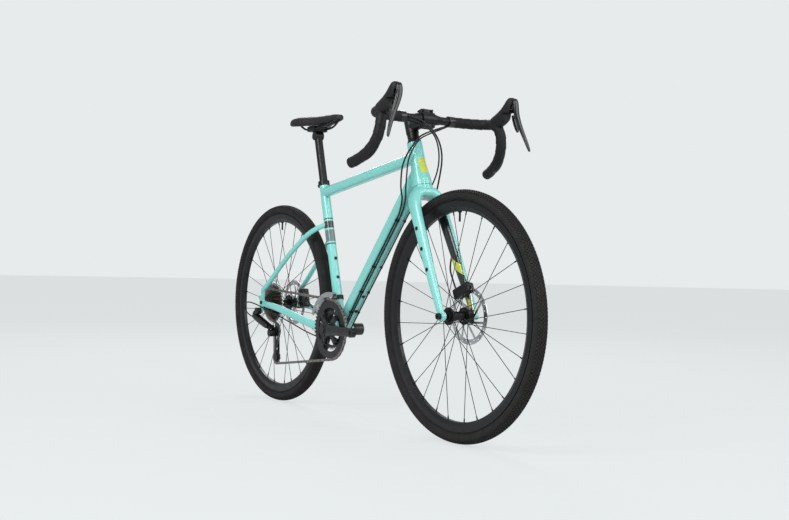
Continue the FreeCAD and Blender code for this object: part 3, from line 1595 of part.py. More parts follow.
def chain():
    """Roller chain: inner and outer links by turns around rings, pulleys and cog."""
    reach = chain_pitch
    inner_near = roller_half_width
    inner_far = inner_near + chain_plate_thickness
    outer_near = inner_far + chain_plate_gap
    outer_far = outer_near + chain_plate_thickness
    start = V(0, 0, 0)
    end = V(reach, 0, 0)
    hole = chain_pin_radius + slip_gap

    def link(near, far):
        plates = [strap(start, end, chain_plate_width, near, far),
                  strap(start, end, chain_plate_width, -far, -near)]
        return plates

    rollers = [disc(place, roller_radius, -inner_near, inner_near) for place in (start, end)]
    plates = link(inner_near, inner_far)
    inner = fused(plates[0], plates[1:] + rollers)
    for place in (start, end):
        inner = bored(inner, place, hole, -inner_far, inner_far)
    pins = [disc(place, chain_pin_radius, -outer_far, outer_far) for place in (start, end)]
    plates = link(outer_near, outer_far)
    outer = fused(plates[0], plates[1:] + pins)
    solids = []
    for index, place in enumerate(chain_pin_places):
        following = chain_pin_places[(index + 1) % len(chain_pin_places)]
        turn = math.degrees(math.atan2(following.z - place.z, following.x - place.x))
        piece = (inner if index % 2 else outer).copy()
        shift = ((following - place).Length - chain_pitch) / 2
        piece.translate(V(shift, 0, 0))
        piece.rotate(V(0, 0, 0), -aside, turn)
        piece.translate(along_y(place, chain_side))
        solids.append(piece)
    print(f"chain: {len(solids)} links")
    return Part.makeCompound(solids)


# Front derailleur


front_arm_near = chain_side + front_cage_inside + front_cage_thickness
front_body_near = front_arm_near + front_arm_thickness + ring_spacing + face_gap


def front_band():
    """Band round the seat tube with the derailleur body on the drive side, bored for the cage's pins."""
    low = on_seat_tube(front_band_height - front_band_width / 2, 0)
    high = on_seat_tube(front_band_height + front_band_width / 2, 0)
    outer = seat_tube_radius + front_band_wall
    band = pipe(low, high, outer, seat_tube_radius + slip_gap)
    start = along_y(on_seat_tube(front_band_height, 0), front_body_near)
    width = abs(front_body_near) - seat_tube_radius / 2
    body = block(start + aside * (width / 2), seat_ahead, seat_up, front_body_depth, width,
                 front_body_height, front_body_round)
    body = body.cut(rod(low - seat_up * front_body_height, high + seat_up * front_body_height,
                        seat_tube_radius + slip_gap))
    whole = fused(band, [body])
    for place in front_pin_places():
        whole = whole.cut(rod(along_y(place, front_body_near - front_pin_radius),
                              along_y(place, front_body_near + front_hole_depth),
                              front_pin_radius + running_gap))
    return whole


def front_pin_places():
    """Places of the two pins of the front cage's arm that slide in the derailleur body."""
    middle = on_seat_tube(front_band_height, 0)
    return [middle + forward * (front_pin_spacing / 2), middle - forward * (front_pin_spacing / 2)]


def cage_corner(turn_degrees, reach):
    turn = math.radians(turn_degrees)
    return bracket_place + V(math.cos(turn), 0, math.sin(turn)) * reach


def front_cage():
    """Two curved plates either side of the chain, bridged above, with an arm on two slide pins."""
    low = pitch_radius(outer_ring_teeth) + tooth_height + front_cage_gap
    high = low + front_cage_depth
    tail_high = low + front_cage_tail_depth
    nose, tail = front_cage_nose_turn, front_cage_tail_turn
    mid = (nose + tail) / 2
    mid_high = (high + tail_high) / 2
    edges = [Part.Arc(cage_corner(nose, low), cage_corner(mid, low), cage_corner(tail, low)).toShape(),
             Part.LineSegment(cage_corner(tail, low), cage_corner(tail, tail_high)).toShape(),
             Part.Arc(cage_corner(tail, tail_high), cage_corner(mid, mid_high),
                      cage_corner(nose, high)).toShape(),
             Part.LineSegment(cage_corner(nose, high), cage_corner(nose, low)).toShape()]
    face = Part.Face(Part.Wire(edges))
    plates = []
    for side in (-1, 1):
        plate = face.extrude(aside * front_cage_thickness)
        plate.translate(aside * (chain_side + side * front_cage_inside
                                 + (side - 1) / 2 * front_cage_thickness))
        plates.append(plate)
    near = chain_side - front_cage_inside
    far = chain_side + front_cage_inside
    bridge_start = cage_corner(front_cage_bridge_turn, high - front_cage_gap / 2)
    bridge_end = cage_corner(nose, high - front_cage_gap / 2)
    bridge = strap(bridge_start, bridge_end, front_cage_gap / 2, near, far)
    tail_pin = disc(cage_corner(tail - front_cage_gap, (low + tail_high) / 2),
                    front_cage_gap / 2, near, far)
    arm_far = front_arm_near + front_arm_thickness
    arm = strap(front_pin_places()[0], cage_corner(mid, (low + mid_high) / 2), front_cage_depth / 2,
                front_arm_near, arm_far)
    pins = [rod(along_y(place, front_arm_near), along_y(place, front_body_near + front_pin_engagement),
                front_pin_radius) for place in front_pin_places()]
    return fused(plates[0], [plates[1], bridge, tail_pin, arm] + pins)


# Rear derailleur


upper_arm_end = hanger_bolt + V(-upper_arm_behind, 0, -upper_arm_drop)
lower_arm_end = V(lower_pivot.x - lower_arm_ahead, 0, lower_pivot.z + lower_arm_rise)
upper_near = -dropout_side - dropout_thickness - face_gap
upper_far = upper_near - upper_knuckle_width
lower_near = chain_side - cage_inside - cage_thickness - face_gap
lower_far = lower_near - lower_knuckle_width
link_start_side = (upper_near + upper_far) / 2
link_end_side = (lower_near + lower_far) / 2
link_start = along_y(upper_arm_end, link_start_side)
link_end = along_y(lower_arm_end, link_end_side)
link_run = V(link_end.x - link_start.x, 0, link_end.z - link_start.z)
link_axis = V(-link_run.z, 0, link_run.x).normalize()


def link_bar(shift):
    """One side of the derailleur's four-bar, bored for its pins at both ends."""
    start = link_start + aside * shift
    end = link_end + aside * shift
    along = unit(end - start)
    half = link_height / 2
    across = along.cross(link_axis)
    corners = [start - along * link_lug + across * (link_thickness / 2),
               end + along * link_lug + across * (link_thickness / 2),
               end + along * link_lug - across * (link_thickness / 2),
               start - along * link_lug - across * (link_thickness / 2)]
    corners = [corner - link_axis * half for corner in corners]
    bar = Part.Face(Part.makePolygon(corners + corners[:1])).extrude(link_axis * link_height)
    for place in (start, end):
        bar = bar.fuse(rod(place - link_axis * half, place + link_axis * half, link_lug))
    bar = bar.removeSplitter()
    for place in (start, end):
        bar = bar.cut(rod(place - link_axis * link_height, place + link_axis * link_height,
                          link_pin_radius + running_gap))
    return bar


def link_yoke(place):
    """Two lugs and pins that hold the ends of both links."""
    half = link_height / 2 + face_gap
    cheeks = []
    sides = [place + aside * (link_spacing / 2), place - aside * (link_spacing / 2)]
    for end in (-1, 1):
        face = link_axis * (end * half)
        outer = link_axis * (end * (half + link_lug))
        for side in sides:
            cheeks.append(rod(side + face, side + outer, link_lug))
        run = V(face)
        slab = Part.makeBox(2 * link_lug, link_spacing, link_lug,
                            V(-link_lug, -link_spacing / 2, 0))
        over = unit(run)
        slab.Placement = FreeCAD.Placement(place + face,
                                           FreeCAD.Rotation(aside.cross(over), aside, over, "XYZ"))
        cheeks.append(slab)
    for side in sides:
        cheeks.append(rod(side - link_axis * half, side + link_axis * half, link_pin_radius))
    return cheeks


def link_sweep(place, reach):
    """Room that the links' ends need to swing between the lugs."""
    half = link_height / 2 + face_gap
    return rod(place - link_axis * half, place + link_axis * half, reach)


def rear_upper_knuckle():
    """Knuckle bolted to the hanger with an arm back to the links' upper pins."""
    barrel = disc(hanger_bolt, upper_knuckle_radius, upper_far, upper_near)
    bolt = disc(hanger_bolt, cage_pivot_radius, upper_far, -dropout_side)
    arm = strap(hanger_bolt, upper_arm_end, upper_arm_width, upper_far, upper_near)
    room = link_sweep(link_start, link_spacing + 2 * link_lug)
    arm = fused(barrel, [arm]).cut(room)
    knuckle = fused(arm, [bolt] + link_yoke(link_start))
    return largest(knuckle)


def rear_lower_knuckle():
    """Knuckle at the links' lower ends that carries the cage on its pivot."""
    barrel = disc(lower_pivot, lower_knuckle_radius, lower_far, lower_near)
    arm = strap(lower_pivot, lower_arm_end, lower_arm_width, lower_far, lower_near)
    room = link_sweep(link_end, link_spacing + link_lug)
    body = fused(barrel, [arm]).cut(room)
    body = fused(body, link_yoke(link_end))
    body = bored(body, lower_pivot, cage_pivot_radius + running_gap, lower_far, lower_near)
    return largest(body)


def rear_cage():
    """Two side plates with the pulley bolts between them and the pivot pin outside."""
    near = chain_side - cage_inside
    far = chain_side + cage_inside
    plates = []
    for low, high in ((near - cage_thickness, near), (far, far + cage_thickness)):
        plate = strap(guide_centre, tension_centre, cage_width, low, high)
        ends = [disc(guide_centre, cage_end_radius, low, high),
                disc(tension_centre, cage_end_radius, low, high)]
        plates.append(fused(plate, ends))
    plates[0] = fused(plates[0], [strap(guide_centre, lower_pivot, cage_width,
                                        near - cage_thickness, near)])
    pins = [disc(place, pulley_bore - running_gap, near, far)
            for place in (guide_centre, tension_centre)]
    pivot = disc(lower_pivot, cage_pivot_radius, lower_far, near)
    return fused(plates[0], [plates[1], pivot] + pins)


def pulley(centre, phase):
    wheel = toothed_disc(pulley_teeth, centre, phase, pulley_thickness)
    sleeve = disc(centre, 2 * pulley_bore, chain_side - cage_inside + face_gap,
                  chain_side + cage_inside - face_gap)
    return bored(fused(wheel, [sleeve]), centre, pulley_bore, chain_side - cage_inside,
                 chain_side + cage_inside)


# Cables, each a list of places along its route


def frame_cables(rear_brake):
    """Lines held along the frame: rear brake, front shift and rear shift."""
    under = -down_tube_height / 2
    edge = down_tube_width / 2
    rear_brake_line = [on_down_tube(500, under + 1, 6 - edge), on_down_tube(340, under, 6 - edge),
                       on_down_tube(170, under + 1, 6 - edge), on_down_tube(40, under - 4, -18),
                       V(-84, -14, 236), V(-150, 12, 236), V(-214, 33, 256), V(-264, 36, 282),
                       V(-330, 48, 312), V(-392, 53, 340), V(-437, 55, 373)]
    front_shift = [on_down_tube(500, under - 2, 13 - edge), on_down_tube(340, under - 3, 13 - edge),
                   on_down_tube(170, under - 2, 13 - edge), on_down_tube(40, under - 4, -11),
                   V(-84, -10, 242), V(-136, -9, 250), V(-150, -16, 300), V(-152, -22, 368)]
    rear_shift = [on_down_tube(500, under - 3, 10), on_down_tube(340, under - 4, 10),
                  on_down_tube(170, under - 3, 10), on_down_tube(40, under - 4, 10),
                  V(-84, 9, 243), V(-150, -16, 244), V(-216, -42, 252), V(-330, -64, 290),
                  V(-440, -78, 318), V(-536, -104, 350), V(-596, -106, 350), V(-604, -100, 312),
                  V(-566, -94, 300)]
    brake_line = cord("rear brake line", rear_brake_line, brake_hose)
    return Part.makeCompound([cord("rear shift line", rear_shift, shift_housing),
                              cord("front shift line", front_shift, shift_housing),
                              largest(brake_line.cut(rear_brake))])


def fork_hose(fork_shape, front_brake):
    """Front brake hose where it leaves the left leg's inner face for the caliper."""
    route = [on_steerer(190, 18, 46), on_steerer(160, 2, 40), on_steerer(120, 4, 43),
             on_steerer(84, 10, 44)]
    hose = cord("front brake line", route, brake_hose)
    return largest(hose.cut(fork_shape).cut(front_brake))


def cable_loops(fork_shape):
    """Free loops from the bar: left ones cross to the right of the frame, right ones to the left."""
    under = -down_tube_height / 2
    edge = down_tube_width / 2
    bar = bar_centre
    join = 500 + 2 * face_gap
    rear_brake = [bar + V(-8, 77.3, -13), bar + V(-17, 50, -23), bar + V(-18, 10, -38),
                  bar + V(-13, -16, -52), bar + V(-21, -34, -80), bar + V(-35, -44, -106),
                  bar + V(-51, -47, -138), bar + V(-58, -45, -178), bar + V(-64, -40, -206),
                  on_down_tube(550, under + 6, -1 - edge), on_down_tube(join, under + 1, 6 - edge)]
    front_shift = [bar + V(0, 77.3, -14.6), bar + V(-5, 58, -24), bar + V(-20, 26, -38),
                   bar + V(-25, -6, -55), bar + V(-24, -30, -89), bar + V(-34, -38, -118),
                   bar + V(-37, -40, -175), bar + V(-43, -38, -200),
                   on_down_tube(550, under + 2, 8 - edge), on_down_tube(join, under - 2, 13 - edge)]
    rear_shift = [bar + V(13.5, -77.3, -6.5), bar + V(18, -60, -9), bar + V(26, -34, -18),
                  bar + V(30, -6, -34), bar + V(28, 18, -58), bar + V(22, 34, -98),
                  bar + V(10, 40, -140), bar + V(-14, 42, -180), bar + V(-44, 38, -214),
                  on_down_tube(552, under - 3, 14), on_down_tube(join, under - 3, 10)]
    front_brake = [bar + V(14.8, -77.3, 1.5), bar + V(21, -60, 0), bar + V(33, -34, -12),
                   bar + V(39, -4, -34), bar + V(39, 22, -68), bar + V(34, 36, -108),
                   bar + V(22, 40, -152), on_steerer(386, 12, 37)]
    fork_line = cord("front brake loop", front_brake, brake_hose)
    return Part.makeCompound([cord("rear shift loop", rear_shift, shift_housing),
                              cord("front shift loop", front_shift, shift_housing),
                              cord("rear brake loop", rear_brake, brake_hose),
                              largest(fork_line.cut(fork_shape))])


def cable_clips(lines):
    """Clips under the down tube round the lines, two lines on the right and one on the left."""
    under = -down_tube_height / 2
    edge = down_tube_width / 2
    solids = []
    for height in clip_heights:
        for over, side in ((under + 1, 6 - edge), (under - 2, 13 - edge), (under - 3, 10)):
            place = on_down_tube(height, over, side)
            half = down_along * (clip_width / 2)
            solids.append(rod(place - half, place + half, brake_hose / 2 + clip_wall))
    shell = fused(solids[0], solids[1:])
    tube = limb([(bracket_place, down_tube_width / 2, down_tube_height / 2),
                 (down_end, down_tube_width / 2, down_tube_height / 2)], down_over, tube_fullness)
    return shell.cut(tube).cut(lines)


front_flanges = dict(left=front_flange_left, right=front_flange_right,
                     flange_radius=front_flange_radius)
rear_flanges = dict(left=rear_flange_left, right=rear_flange_right,
                    flange_radius=rear_flange_radius)
front_shell_end = front_hub_width / 2 - face_gap - hub_cap_length
rear_shell_end = -cog_side(len(cassette_teeth) - 1) - chain_tooth_width / 2 - face_gap


def nodes():
    lever = right_brake_lever()
    paddle = right_shift_paddle()
    fork_shape = fork()
    front_brake = front_caliper(fork_shape)
    rear_brake = rear_caliper()
    lines = frame_cables(rear_brake)
    pieces = {
        "head_tube": head_tube(),
        "top_tube": top_tube(),
        "down_tube": down_tube(),
        "seat_tube": seat_tube(),
        "bottom_bracket_shell": bracket_shell(),
        "chainstays": chainstays(),
        "seatstays": seatstays(),
        "rear_dropouts": Part.makeCompound([dropout_plate(-1), dropout_plate(1)]),
        "frame_inserts": frame_inserts(),
        "seat_clamp": seat_clamp(),
        "bottom_bracket_cups": bracket_cups(),
        "headset_bearings": headset_bearings(),
        "rear_axle": axle(rear_axle_place, dropout_side, dropout_thickness, 1),
        "rear_caliper": rear_brake,
        "cable_clips": cable_clips(lines),
        "frame_cables": lines,
        "chain": chain(),
        "front_derailleur_base": front_band(),
        "rear_derailleur_base": rear_upper_knuckle(),
        "seatpost": seatpost(),
        "rail_clamp": rail_clamp(),
        "saddle_rails": saddle_rails(),
        "saddle": saddle(),
        "fork": fork_shape,
        "fork_inserts": fork_inserts(fork_shape),
        "front_axle": axle(front_axle_place, front_hub_width / 2, fork_dropout_width, -1),
        "front_caliper": front_brake,
        "fork_hose": fork_hose(fork_shape, front_brake),
        "headset_spacers": headset_spacers(),
        "stem": stem(),
        "stem_faceplate": stem_faceplate(),
        "handlebar": handlebar(),
        "bar_tape": bar_tape(),
        "brake_hoods": brake_hoods(),
        "cable_loops": cable_loops(fork_shape),
        "right_brake_lever": lever,
        "left_brake_lever": mirrored(lever),
        "right_shift_paddle": paddle,
        "left_shift_paddle": mirrored(paddle),
        "cassette": cassette(),
        "right_crank": right_crank(),
        "left_crank": left_crank(),
        "chainrings": chainrings(),
        "front_derailleur_cage": front_cage(),
        "derailleur_outer_link": link_bar(-link_spacing / 2),
        "derailleur_inner_link": link_bar(link_spacing / 2),
        "derailleur_lower_knuckle": rear_lower_knuckle(),
        "derailleur_cage": rear_cage(),
        "guide_pulley": pulley(guide_centre, guide_phase),
        "tension_pulley": pulley(tension_centre, tension_phase),
    }
    for name, place, hub_width, rotor_side, flanges, right_end in (
            ("front", front_axle_place, front_hub_width, front_rotor_side, front_flanges,
             front_shell_end),
            ("rear", rear_axle_place, rear_hub_width, rear_rotor_side, rear_flanges,
             rear_shell_end)):
        pieces[name + "_tyre"] = tyre(place)
        pieces[name + "_rim"] = rim(place)
        pieces[name + "_spokes"] = spokes(place, **flanges)
        pieces[name + "_hub"] = hub(place, hub_width, rotor_side=rotor_side,
                                    right_end=right_end, **flanges)
        pieces[name + "_rotor"] = rotor(place, rotor_side)
    return pieces


os.makedirs("parts", exist_ok=True)
for node_name, shape in nodes().items():
    shape.exportStep("parts/" + node_name + ".step")
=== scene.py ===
# %% [markdown]
# # A gravel bike around its CAD frame
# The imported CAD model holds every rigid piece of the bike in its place. This lesson loads it,
# gives each surface its finish, and models the pieces that are soft, wrapped or finely cut:
# tyres, saddle, bar tape, hoods, levers, cables and a cover on the rear derailleur. All sizes are
# metres, +X is forward, +Y is the rider's left, and the wheels stand on z = 0.

# %% Load the CAD frame
import math

import bmesh
import bpy
from mathutils import Matrix, Vector


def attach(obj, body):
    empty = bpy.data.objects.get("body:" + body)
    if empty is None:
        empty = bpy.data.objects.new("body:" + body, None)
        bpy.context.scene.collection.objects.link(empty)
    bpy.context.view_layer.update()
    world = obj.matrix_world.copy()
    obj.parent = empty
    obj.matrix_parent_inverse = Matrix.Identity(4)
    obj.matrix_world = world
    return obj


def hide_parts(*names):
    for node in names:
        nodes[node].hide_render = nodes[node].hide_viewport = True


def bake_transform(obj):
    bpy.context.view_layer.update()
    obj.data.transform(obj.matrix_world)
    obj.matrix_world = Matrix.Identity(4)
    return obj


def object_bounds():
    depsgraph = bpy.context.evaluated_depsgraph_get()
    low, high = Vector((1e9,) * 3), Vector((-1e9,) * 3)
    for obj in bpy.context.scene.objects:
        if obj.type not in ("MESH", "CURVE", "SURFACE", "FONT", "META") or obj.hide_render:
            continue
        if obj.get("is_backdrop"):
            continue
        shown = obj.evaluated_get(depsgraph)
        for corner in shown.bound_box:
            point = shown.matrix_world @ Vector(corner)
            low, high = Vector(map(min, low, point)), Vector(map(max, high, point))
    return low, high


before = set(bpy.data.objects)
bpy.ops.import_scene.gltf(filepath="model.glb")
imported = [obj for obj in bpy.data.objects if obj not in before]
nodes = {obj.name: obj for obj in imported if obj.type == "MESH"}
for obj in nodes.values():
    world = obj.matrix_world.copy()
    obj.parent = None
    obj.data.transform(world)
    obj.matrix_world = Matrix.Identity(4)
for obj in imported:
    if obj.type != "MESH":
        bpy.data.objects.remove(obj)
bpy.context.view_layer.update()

# %% [markdown]
# ## Camera
# The camera stands where the photograph was taken from: low, in front and to the bike's right.
# Its place and lens were fitted to the wheels, hubs and tubes, for a picture of 789 by 520.
# Building the three axes by hand keeps the slight roll of the horizon.

# %% Place the camera
azimuth, pitch, roll = math.radians(55.87), math.radians(-0.58), math.radians(1.07)
focal_pixels, picture_width = 1023.0, 789
camera_place = Vector((2.7593, -1.7325, 0.4731))
sensor_width, far_clip = 36.0, 200
camera_back = Vector((math.sin(azimuth) * math.cos(pitch), -math.cos(azimuth) * math.cos(pitch),
                      math.sin(pitch)))
level_right = (-camera_back).cross(Vector((0, 0, 1))).normalized()
level_up = level_right.cross(-camera_back)
camera_right = math.cos(roll) * level_right + math.sin(roll) * level_up
camera_up = -math.sin(roll) * level_right + math.cos(roll) * level_up
camera_data = bpy.data.cameras.new("photo_camera")
camera_data.sensor_width = sensor_width
camera_data.lens = focal_pixels / picture_width * sensor_width
camera_data.clip_end = far_clip
camera = bpy.data.objects.new("photo_camera", camera_data)
turn = Matrix((camera_right, camera_up, camera_back)).transposed().to_4x4()
camera.matrix_world = Matrix.Translation(camera_place) @ turn
bpy.context.scene.collection.objects.link(camera)
bpy.context.scene.camera = camera
bpy.context.scene.view_settings.view_transform = "Standard"
print("camera lens:", round(camera_data.lens, 2), "mm")

# %% [markdown]
# ## Studio
# A wide pale floor and four soft area lamps stand in for the studio; the narrow one draws the
# long highlights down the tubes. The world is a pale backdrop where the camera sees it directly,
# and a dimmer light everywhere else, so that colours come out about as they are written. The floor
# takes most of the backdrop's tone where the camera sees it.

# %% Floor, world and lamps
floor_radius, floor_corners, floor_drop = 40, 96, 0.0005
floor_colour, floor_roughness, floor_glow_share = (0.62, 0.65, 0.65, 1), 0.85, 0.8
backdrop_colour = (0.80, 0.83, 0.83, 1)
sky_colour, sky_strength = (0.93, 0.97, 1.0, 1), 0.55

bpy.ops.object.select_all(action="DESELECT")
bpy.ops.mesh.primitive_circle_add(vertices=floor_corners, radius=floor_radius, fill_type="NGON",
                                  location=(0, 0, -floor_drop))
floor = bpy.context.object
floor.name = "studio_floor"
floor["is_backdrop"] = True
floor_paint = bpy.data.materials.new("floor_paint")
floor_paint.use_nodes = True
floor_tree = floor_paint.node_tree
floor_shader = floor_tree.nodes["Principled BSDF"]
floor_shader.inputs["Base Color"].default_value = floor_colour
floor_shader.inputs["Roughness"].default_value = floor_roughness
floor_glow = floor_tree.nodes.new("ShaderNodeEmission")
floor_glow.inputs["Color"].default_value = backdrop_colour
floor_seen = floor_tree.nodes.new("ShaderNodeLightPath")
floor_share = floor_tree.nodes.new("ShaderNodeMath")
floor_share.operation = "MULTIPLY"
floor_share.inputs[1].default_value = floor_glow_share
floor_tree.links.new(floor_seen.outputs["Is Camera Ray"], floor_share.inputs[0])
floor_mix = floor_tree.nodes.new("ShaderNodeMixShader")
floor_tree.links.new(floor_share.outputs[0], floor_mix.inputs[0])
floor_tree.links.new(floor_shader.outputs[0], floor_mix.inputs[1])
floor_tree.links.new(floor_glow.outputs[0], floor_mix.inputs[2])
floor_tree.links.new(floor_mix.outputs[0], floor_tree.nodes["Material Output"].inputs["Surface"])
floor.data.materials.append(floor_paint)

world = bpy.data.worlds.new("studio_world")
bpy.context.scene.world = world
world.use_nodes = True
sky = world.node_tree.nodes
links = world.node_tree.links
sky["Background"].inputs["Color"].default_value = sky_colour
sky["Background"].inputs["Strength"].default_value = sky_strength
seen = sky.new("ShaderNodeBackground")
seen.inputs["Color"].default_value = backdrop_colour
seen.inputs["Strength"].default_value = 1.0
path = sky.new("ShaderNodeLightPath")
straight = sky.new("ShaderNodeMath")
straight.operation = "MAXIMUM"
links.new(path.outputs["Is Camera Ray"], straight.inputs[0])
links.new(path.outputs["Is Transmission Ray"], straight.inputs[1])
pick = sky.new("ShaderNodeMixShader")
links.new(straight.outputs[0], pick.inputs[0])
links.new(sky["Background"].outputs[0], pick.inputs[1])
links.new(seen.outputs[0], pick.inputs[2])
links.new(pick.outputs[0], sky["World Output"].inputs["Surface"])


def soft_lamp(name, place, target, size, power):
    data = bpy.data.lights.new(name, "AREA")
    data.shape = "RECTANGLE"
    data.size, data.size_y = size
    data.energy = power
    lamp = bpy.data.objects.new(name, data)
    lamp.location = place
    lamp.rotation_euler = (Vector(target) - Vector(place)).to_track_quat("-Z", "Y").to_euler()
    bpy.context.scene.collection.objects.link(lamp)


soft_lamp("key_lamp", (1.2, -3.4, 3.0), (0, 0, 0.5), (2.4, 1.6), 110)
soft_lamp("strip_lamp", (3.4, -0.4, 1.9), (0, 0, 0.6), (0.4, 2.2), 36)
soft_lamp("fill_lamp", (3.4, 2.4, 2.2), (0, 0, 0.5), (2.4, 2.4), 50)
soft_lamp("back_lamp", (-3.0, 1.6, 3.2), (0, 0, 0.6), (2.0, 2.0), 70)

# %% [markdown]
# ## Finishes
# Every finish is a Principled shader whose colour, roughness and bump come from noise on Object
# coordinates, which are metres in the bike's own frame. A few helpers add one thing each: an
# uneven tone, a fine grain, or a mask that lays a second colour over part of a tube.

# %% Helpers for finishes
coat_roughness = 0.05
cloud_range, gloss_range = (0.38, 0.66), (0.3, 0.7)
cloud_detail, grain_detail = 4.0, 2.0


def tone(red, green, blue):
    """Screen colour, 0 to 255, as the linear colour that a shader takes."""
    steps = [value / 255 for value in (red, green, blue)]
    return tuple(s / 12.92 if s <= 0.04045 else ((s + 0.055) / 1.055) ** 2.4 for s in steps)


class Finish:
    """A material with its node tree, and a step for each kind of detail."""

    def __init__(self, name, colour, roughness, metal=0.0, coat=0.0, specular=0.5):
        self.material = bpy.data.materials.new(name)
        self.material.use_nodes = True
        self.tree = self.material.node_tree
        self.shader = self.tree.nodes["Principled BSDF"]
        self.shader.inputs["Roughness"].default_value = roughness
        self.shader.inputs["Metallic"].default_value = metal
        self.shader.inputs["Coat Weight"].default_value = coat
        self.shader.inputs["Coat Roughness"].default_value = coat_roughness
        self.shader.inputs["Specular IOR Level"].default_value = specular
        self.shader.inputs["Base Color"].default_value = (*colour, 1)
        self.colour = None
        self.plain = (*colour, 1)
        self.height = None
        self.place = self.node("ShaderNodeTexCoord").outputs["Object"]

    def node(self, kind, **settings):
        made = self.tree.nodes.new(kind)
        for key, value in settings.items():
            setattr(made, key, value)
        return made

    def link(self, start, end):
        self.tree.links.new(start, end)

    def maths(self, operation, first, second=None):
        made = self.node("ShaderNodeMath", operation=operation)
        for socket, value in zip(made.inputs, (first, second)):
            if value is None:
                continue
            if isinstance(value, (int, float)):
                socket.default_value = value
            else:
                self.link(value, socket)
        return made.outputs[0]

    def noise(self, scale, detail, stretch):
        mapping = self.node("ShaderNodeMapping")
        mapping.inputs["Scale"].default_value = stretch
        self.link(self.place, mapping.inputs["Vector"])
        made = self.node("ShaderNodeTexNoise")
        made.inputs["Scale"].default_value = scale
        made.inputs["Detail"].default_value = detail
        self.link(mapping.outputs[0], made.inputs["Vector"])
        return made.outputs["Fac"]

    def ranged(self, value, low, high, to_low, to_high):
        made = self.node("ShaderNodeMapRange")
        self.link(value, made.inputs["Value"])
        for key, number in (("From Min", low), ("From Max", high), ("To Min", to_low),
                            ("To Max", to_high)):
            made.inputs[key].default_value = number
        return made.outputs["Result"]

    def lay(self, mask, colour):
        """Second colour over the first where the mask is 1."""
        made = self.node("ShaderNodeMix", data_type="RGBA")
        self.link(mask, made.inputs["Factor"])
        if self.colour is None:
            made.inputs[6].default_value = self.plain
        else:
            self.link(self.colour, made.inputs[6])
        made.inputs[7].default_value = (*colour, 1)
        self.colour = made.outputs[2]
        self.link(self.colour, self.shader.inputs["Base Color"])
        return self

    def uneven(self, scale, colour, share):
        """Soft clouds of a second tone."""
        cloud = self.ranged(self.noise(scale, cloud_detail, (1, 1, 1)), *cloud_range, 0.0, share)
        return self.lay(cloud, colour)

    def rough(self, scale, low, high, stretch=(1, 1, 1)):
        gloss = self.ranged(self.noise(scale, cloud_detail, stretch), *gloss_range, low, high)
        self.link(gloss, self.shader.inputs["Roughness"])
        return self

    def bump(self, value, depth):
        """Adds a height field to the surface, in metres."""
        made = self.node("ShaderNodeBump")
        made.inputs["Distance"].default_value = depth
        made.inputs["Strength"].default_value = 1.0
        self.link(value, made.inputs["Height"])
        if self.height is not None:
            self.link(self.height, made.inputs["Normal"])
        self.height = made.outputs["Normal"]
        self.link(self.height, self.shader.inputs["Normal"])
        return self

    def grain(self, scale, depth):
        return self.bump(self.noise(scale, grain_detail, (1, 1, 1)), depth)

    def axes(self):
        parts = self.node("ShaderNodeSeparateXYZ")
        self.link(self.place, parts.inputs[0])
        return parts.outputs

    def along(self, origin, direction):
        """Distance of a point from an origin along a direction, in metres."""
        dot = self.node("ShaderNodeVectorMath", operation="DOT_PRODUCT")
        self.link(self.place, dot.inputs[0])
        dot.inputs[1].default_value = direction
        return self.maths("SUBTRACT", dot.outputs["Value"], Vector(origin).dot(Vector(direction)))

    def band(self, value, low, high):
        """1 where the value lies between low and high."""
        return self.maths("MULTIPLY", self.maths("GREATER_THAN", value, low),
                          self.maths("LESS_THAN", value, high))


# %% [markdown]
# ## Paint
# The frame and fork wear a glossy mint green with a clear coat. The paint is a little deeper in
# places and has a very fine orange-peel surface. Three tubes carry plain graphics: a yellow-green
# patch on the front of the head tube, dark bands round the seat tube, and dark and yellow-green
# stripes on the inner faces of the fork.

# %% Mint paint and its plain graphics
mint, deep_mint = tone(126, 207, 198), tone(110, 196, 188)
lime, ink, slate = tone(196, 206, 66), tone(26, 34, 36), tone(92, 116, 116)
peel_scale, peel_depth = 900, 0.000004
steer_up, steer_ahead = (-0.3256, 0.0, 0.9455), (0.9455, 0.0, 0.3256)
steer_foot = (0.4737, 0.0, 0.3337)
seat_up, bracket_place = (-0.2672, 0.0, 0.9636), (-0.095, 0.0, 0.278)
patch_rise, patch_half_width = (0.440, 0.488), 0.013
seat_bands = ((0.286, 0.290, ink), (0.296, 0.336, slate), (0.342, 0.366, ink), (0.372, 0.376, ink))
fork_stripes = ((0.05, 0.10, lime), (0.10, 0.17, ink), (0.17, 0.20, lime), (0.20, 0.36, ink))
inner_face_limit = -0.35


def mint_paint(name):
    paint = Finish(name, mint, 0.3, coat=0.7)
    paint.uneven(3.0, deep_mint, 0.5)
    return paint


def orange_peel(paint):
    return paint.grain(peel_scale, peel_depth).material


frame_paint = orange_peel(mint_paint("mint_paint"))

head_paint = mint_paint("mint_paint_head")
rise = head_paint.along(steer_foot, steer_up)
side = head_paint.maths("ABSOLUTE", head_paint.axes()[1])
ahead = head_paint.along(steer_foot, steer_ahead)
front_middle = head_paint.maths("MULTIPLY", head_paint.maths("LESS_THAN", side, patch_half_width),
                                head_paint.maths("GREATER_THAN", ahead, 0.0))
head_paint.lay(head_paint.maths("MULTIPLY", head_paint.band(rise, *patch_rise), front_middle), lime)
head_finish = orange_peel(head_paint)

seat_paint = mint_paint("mint_paint_seat")
height = seat_paint.along(bracket_place, seat_up)
for low, high, colour in seat_bands:
    seat_paint.lay(seat_paint.band(height, low, high), colour)
seat_finish = orange_peel(seat_paint)

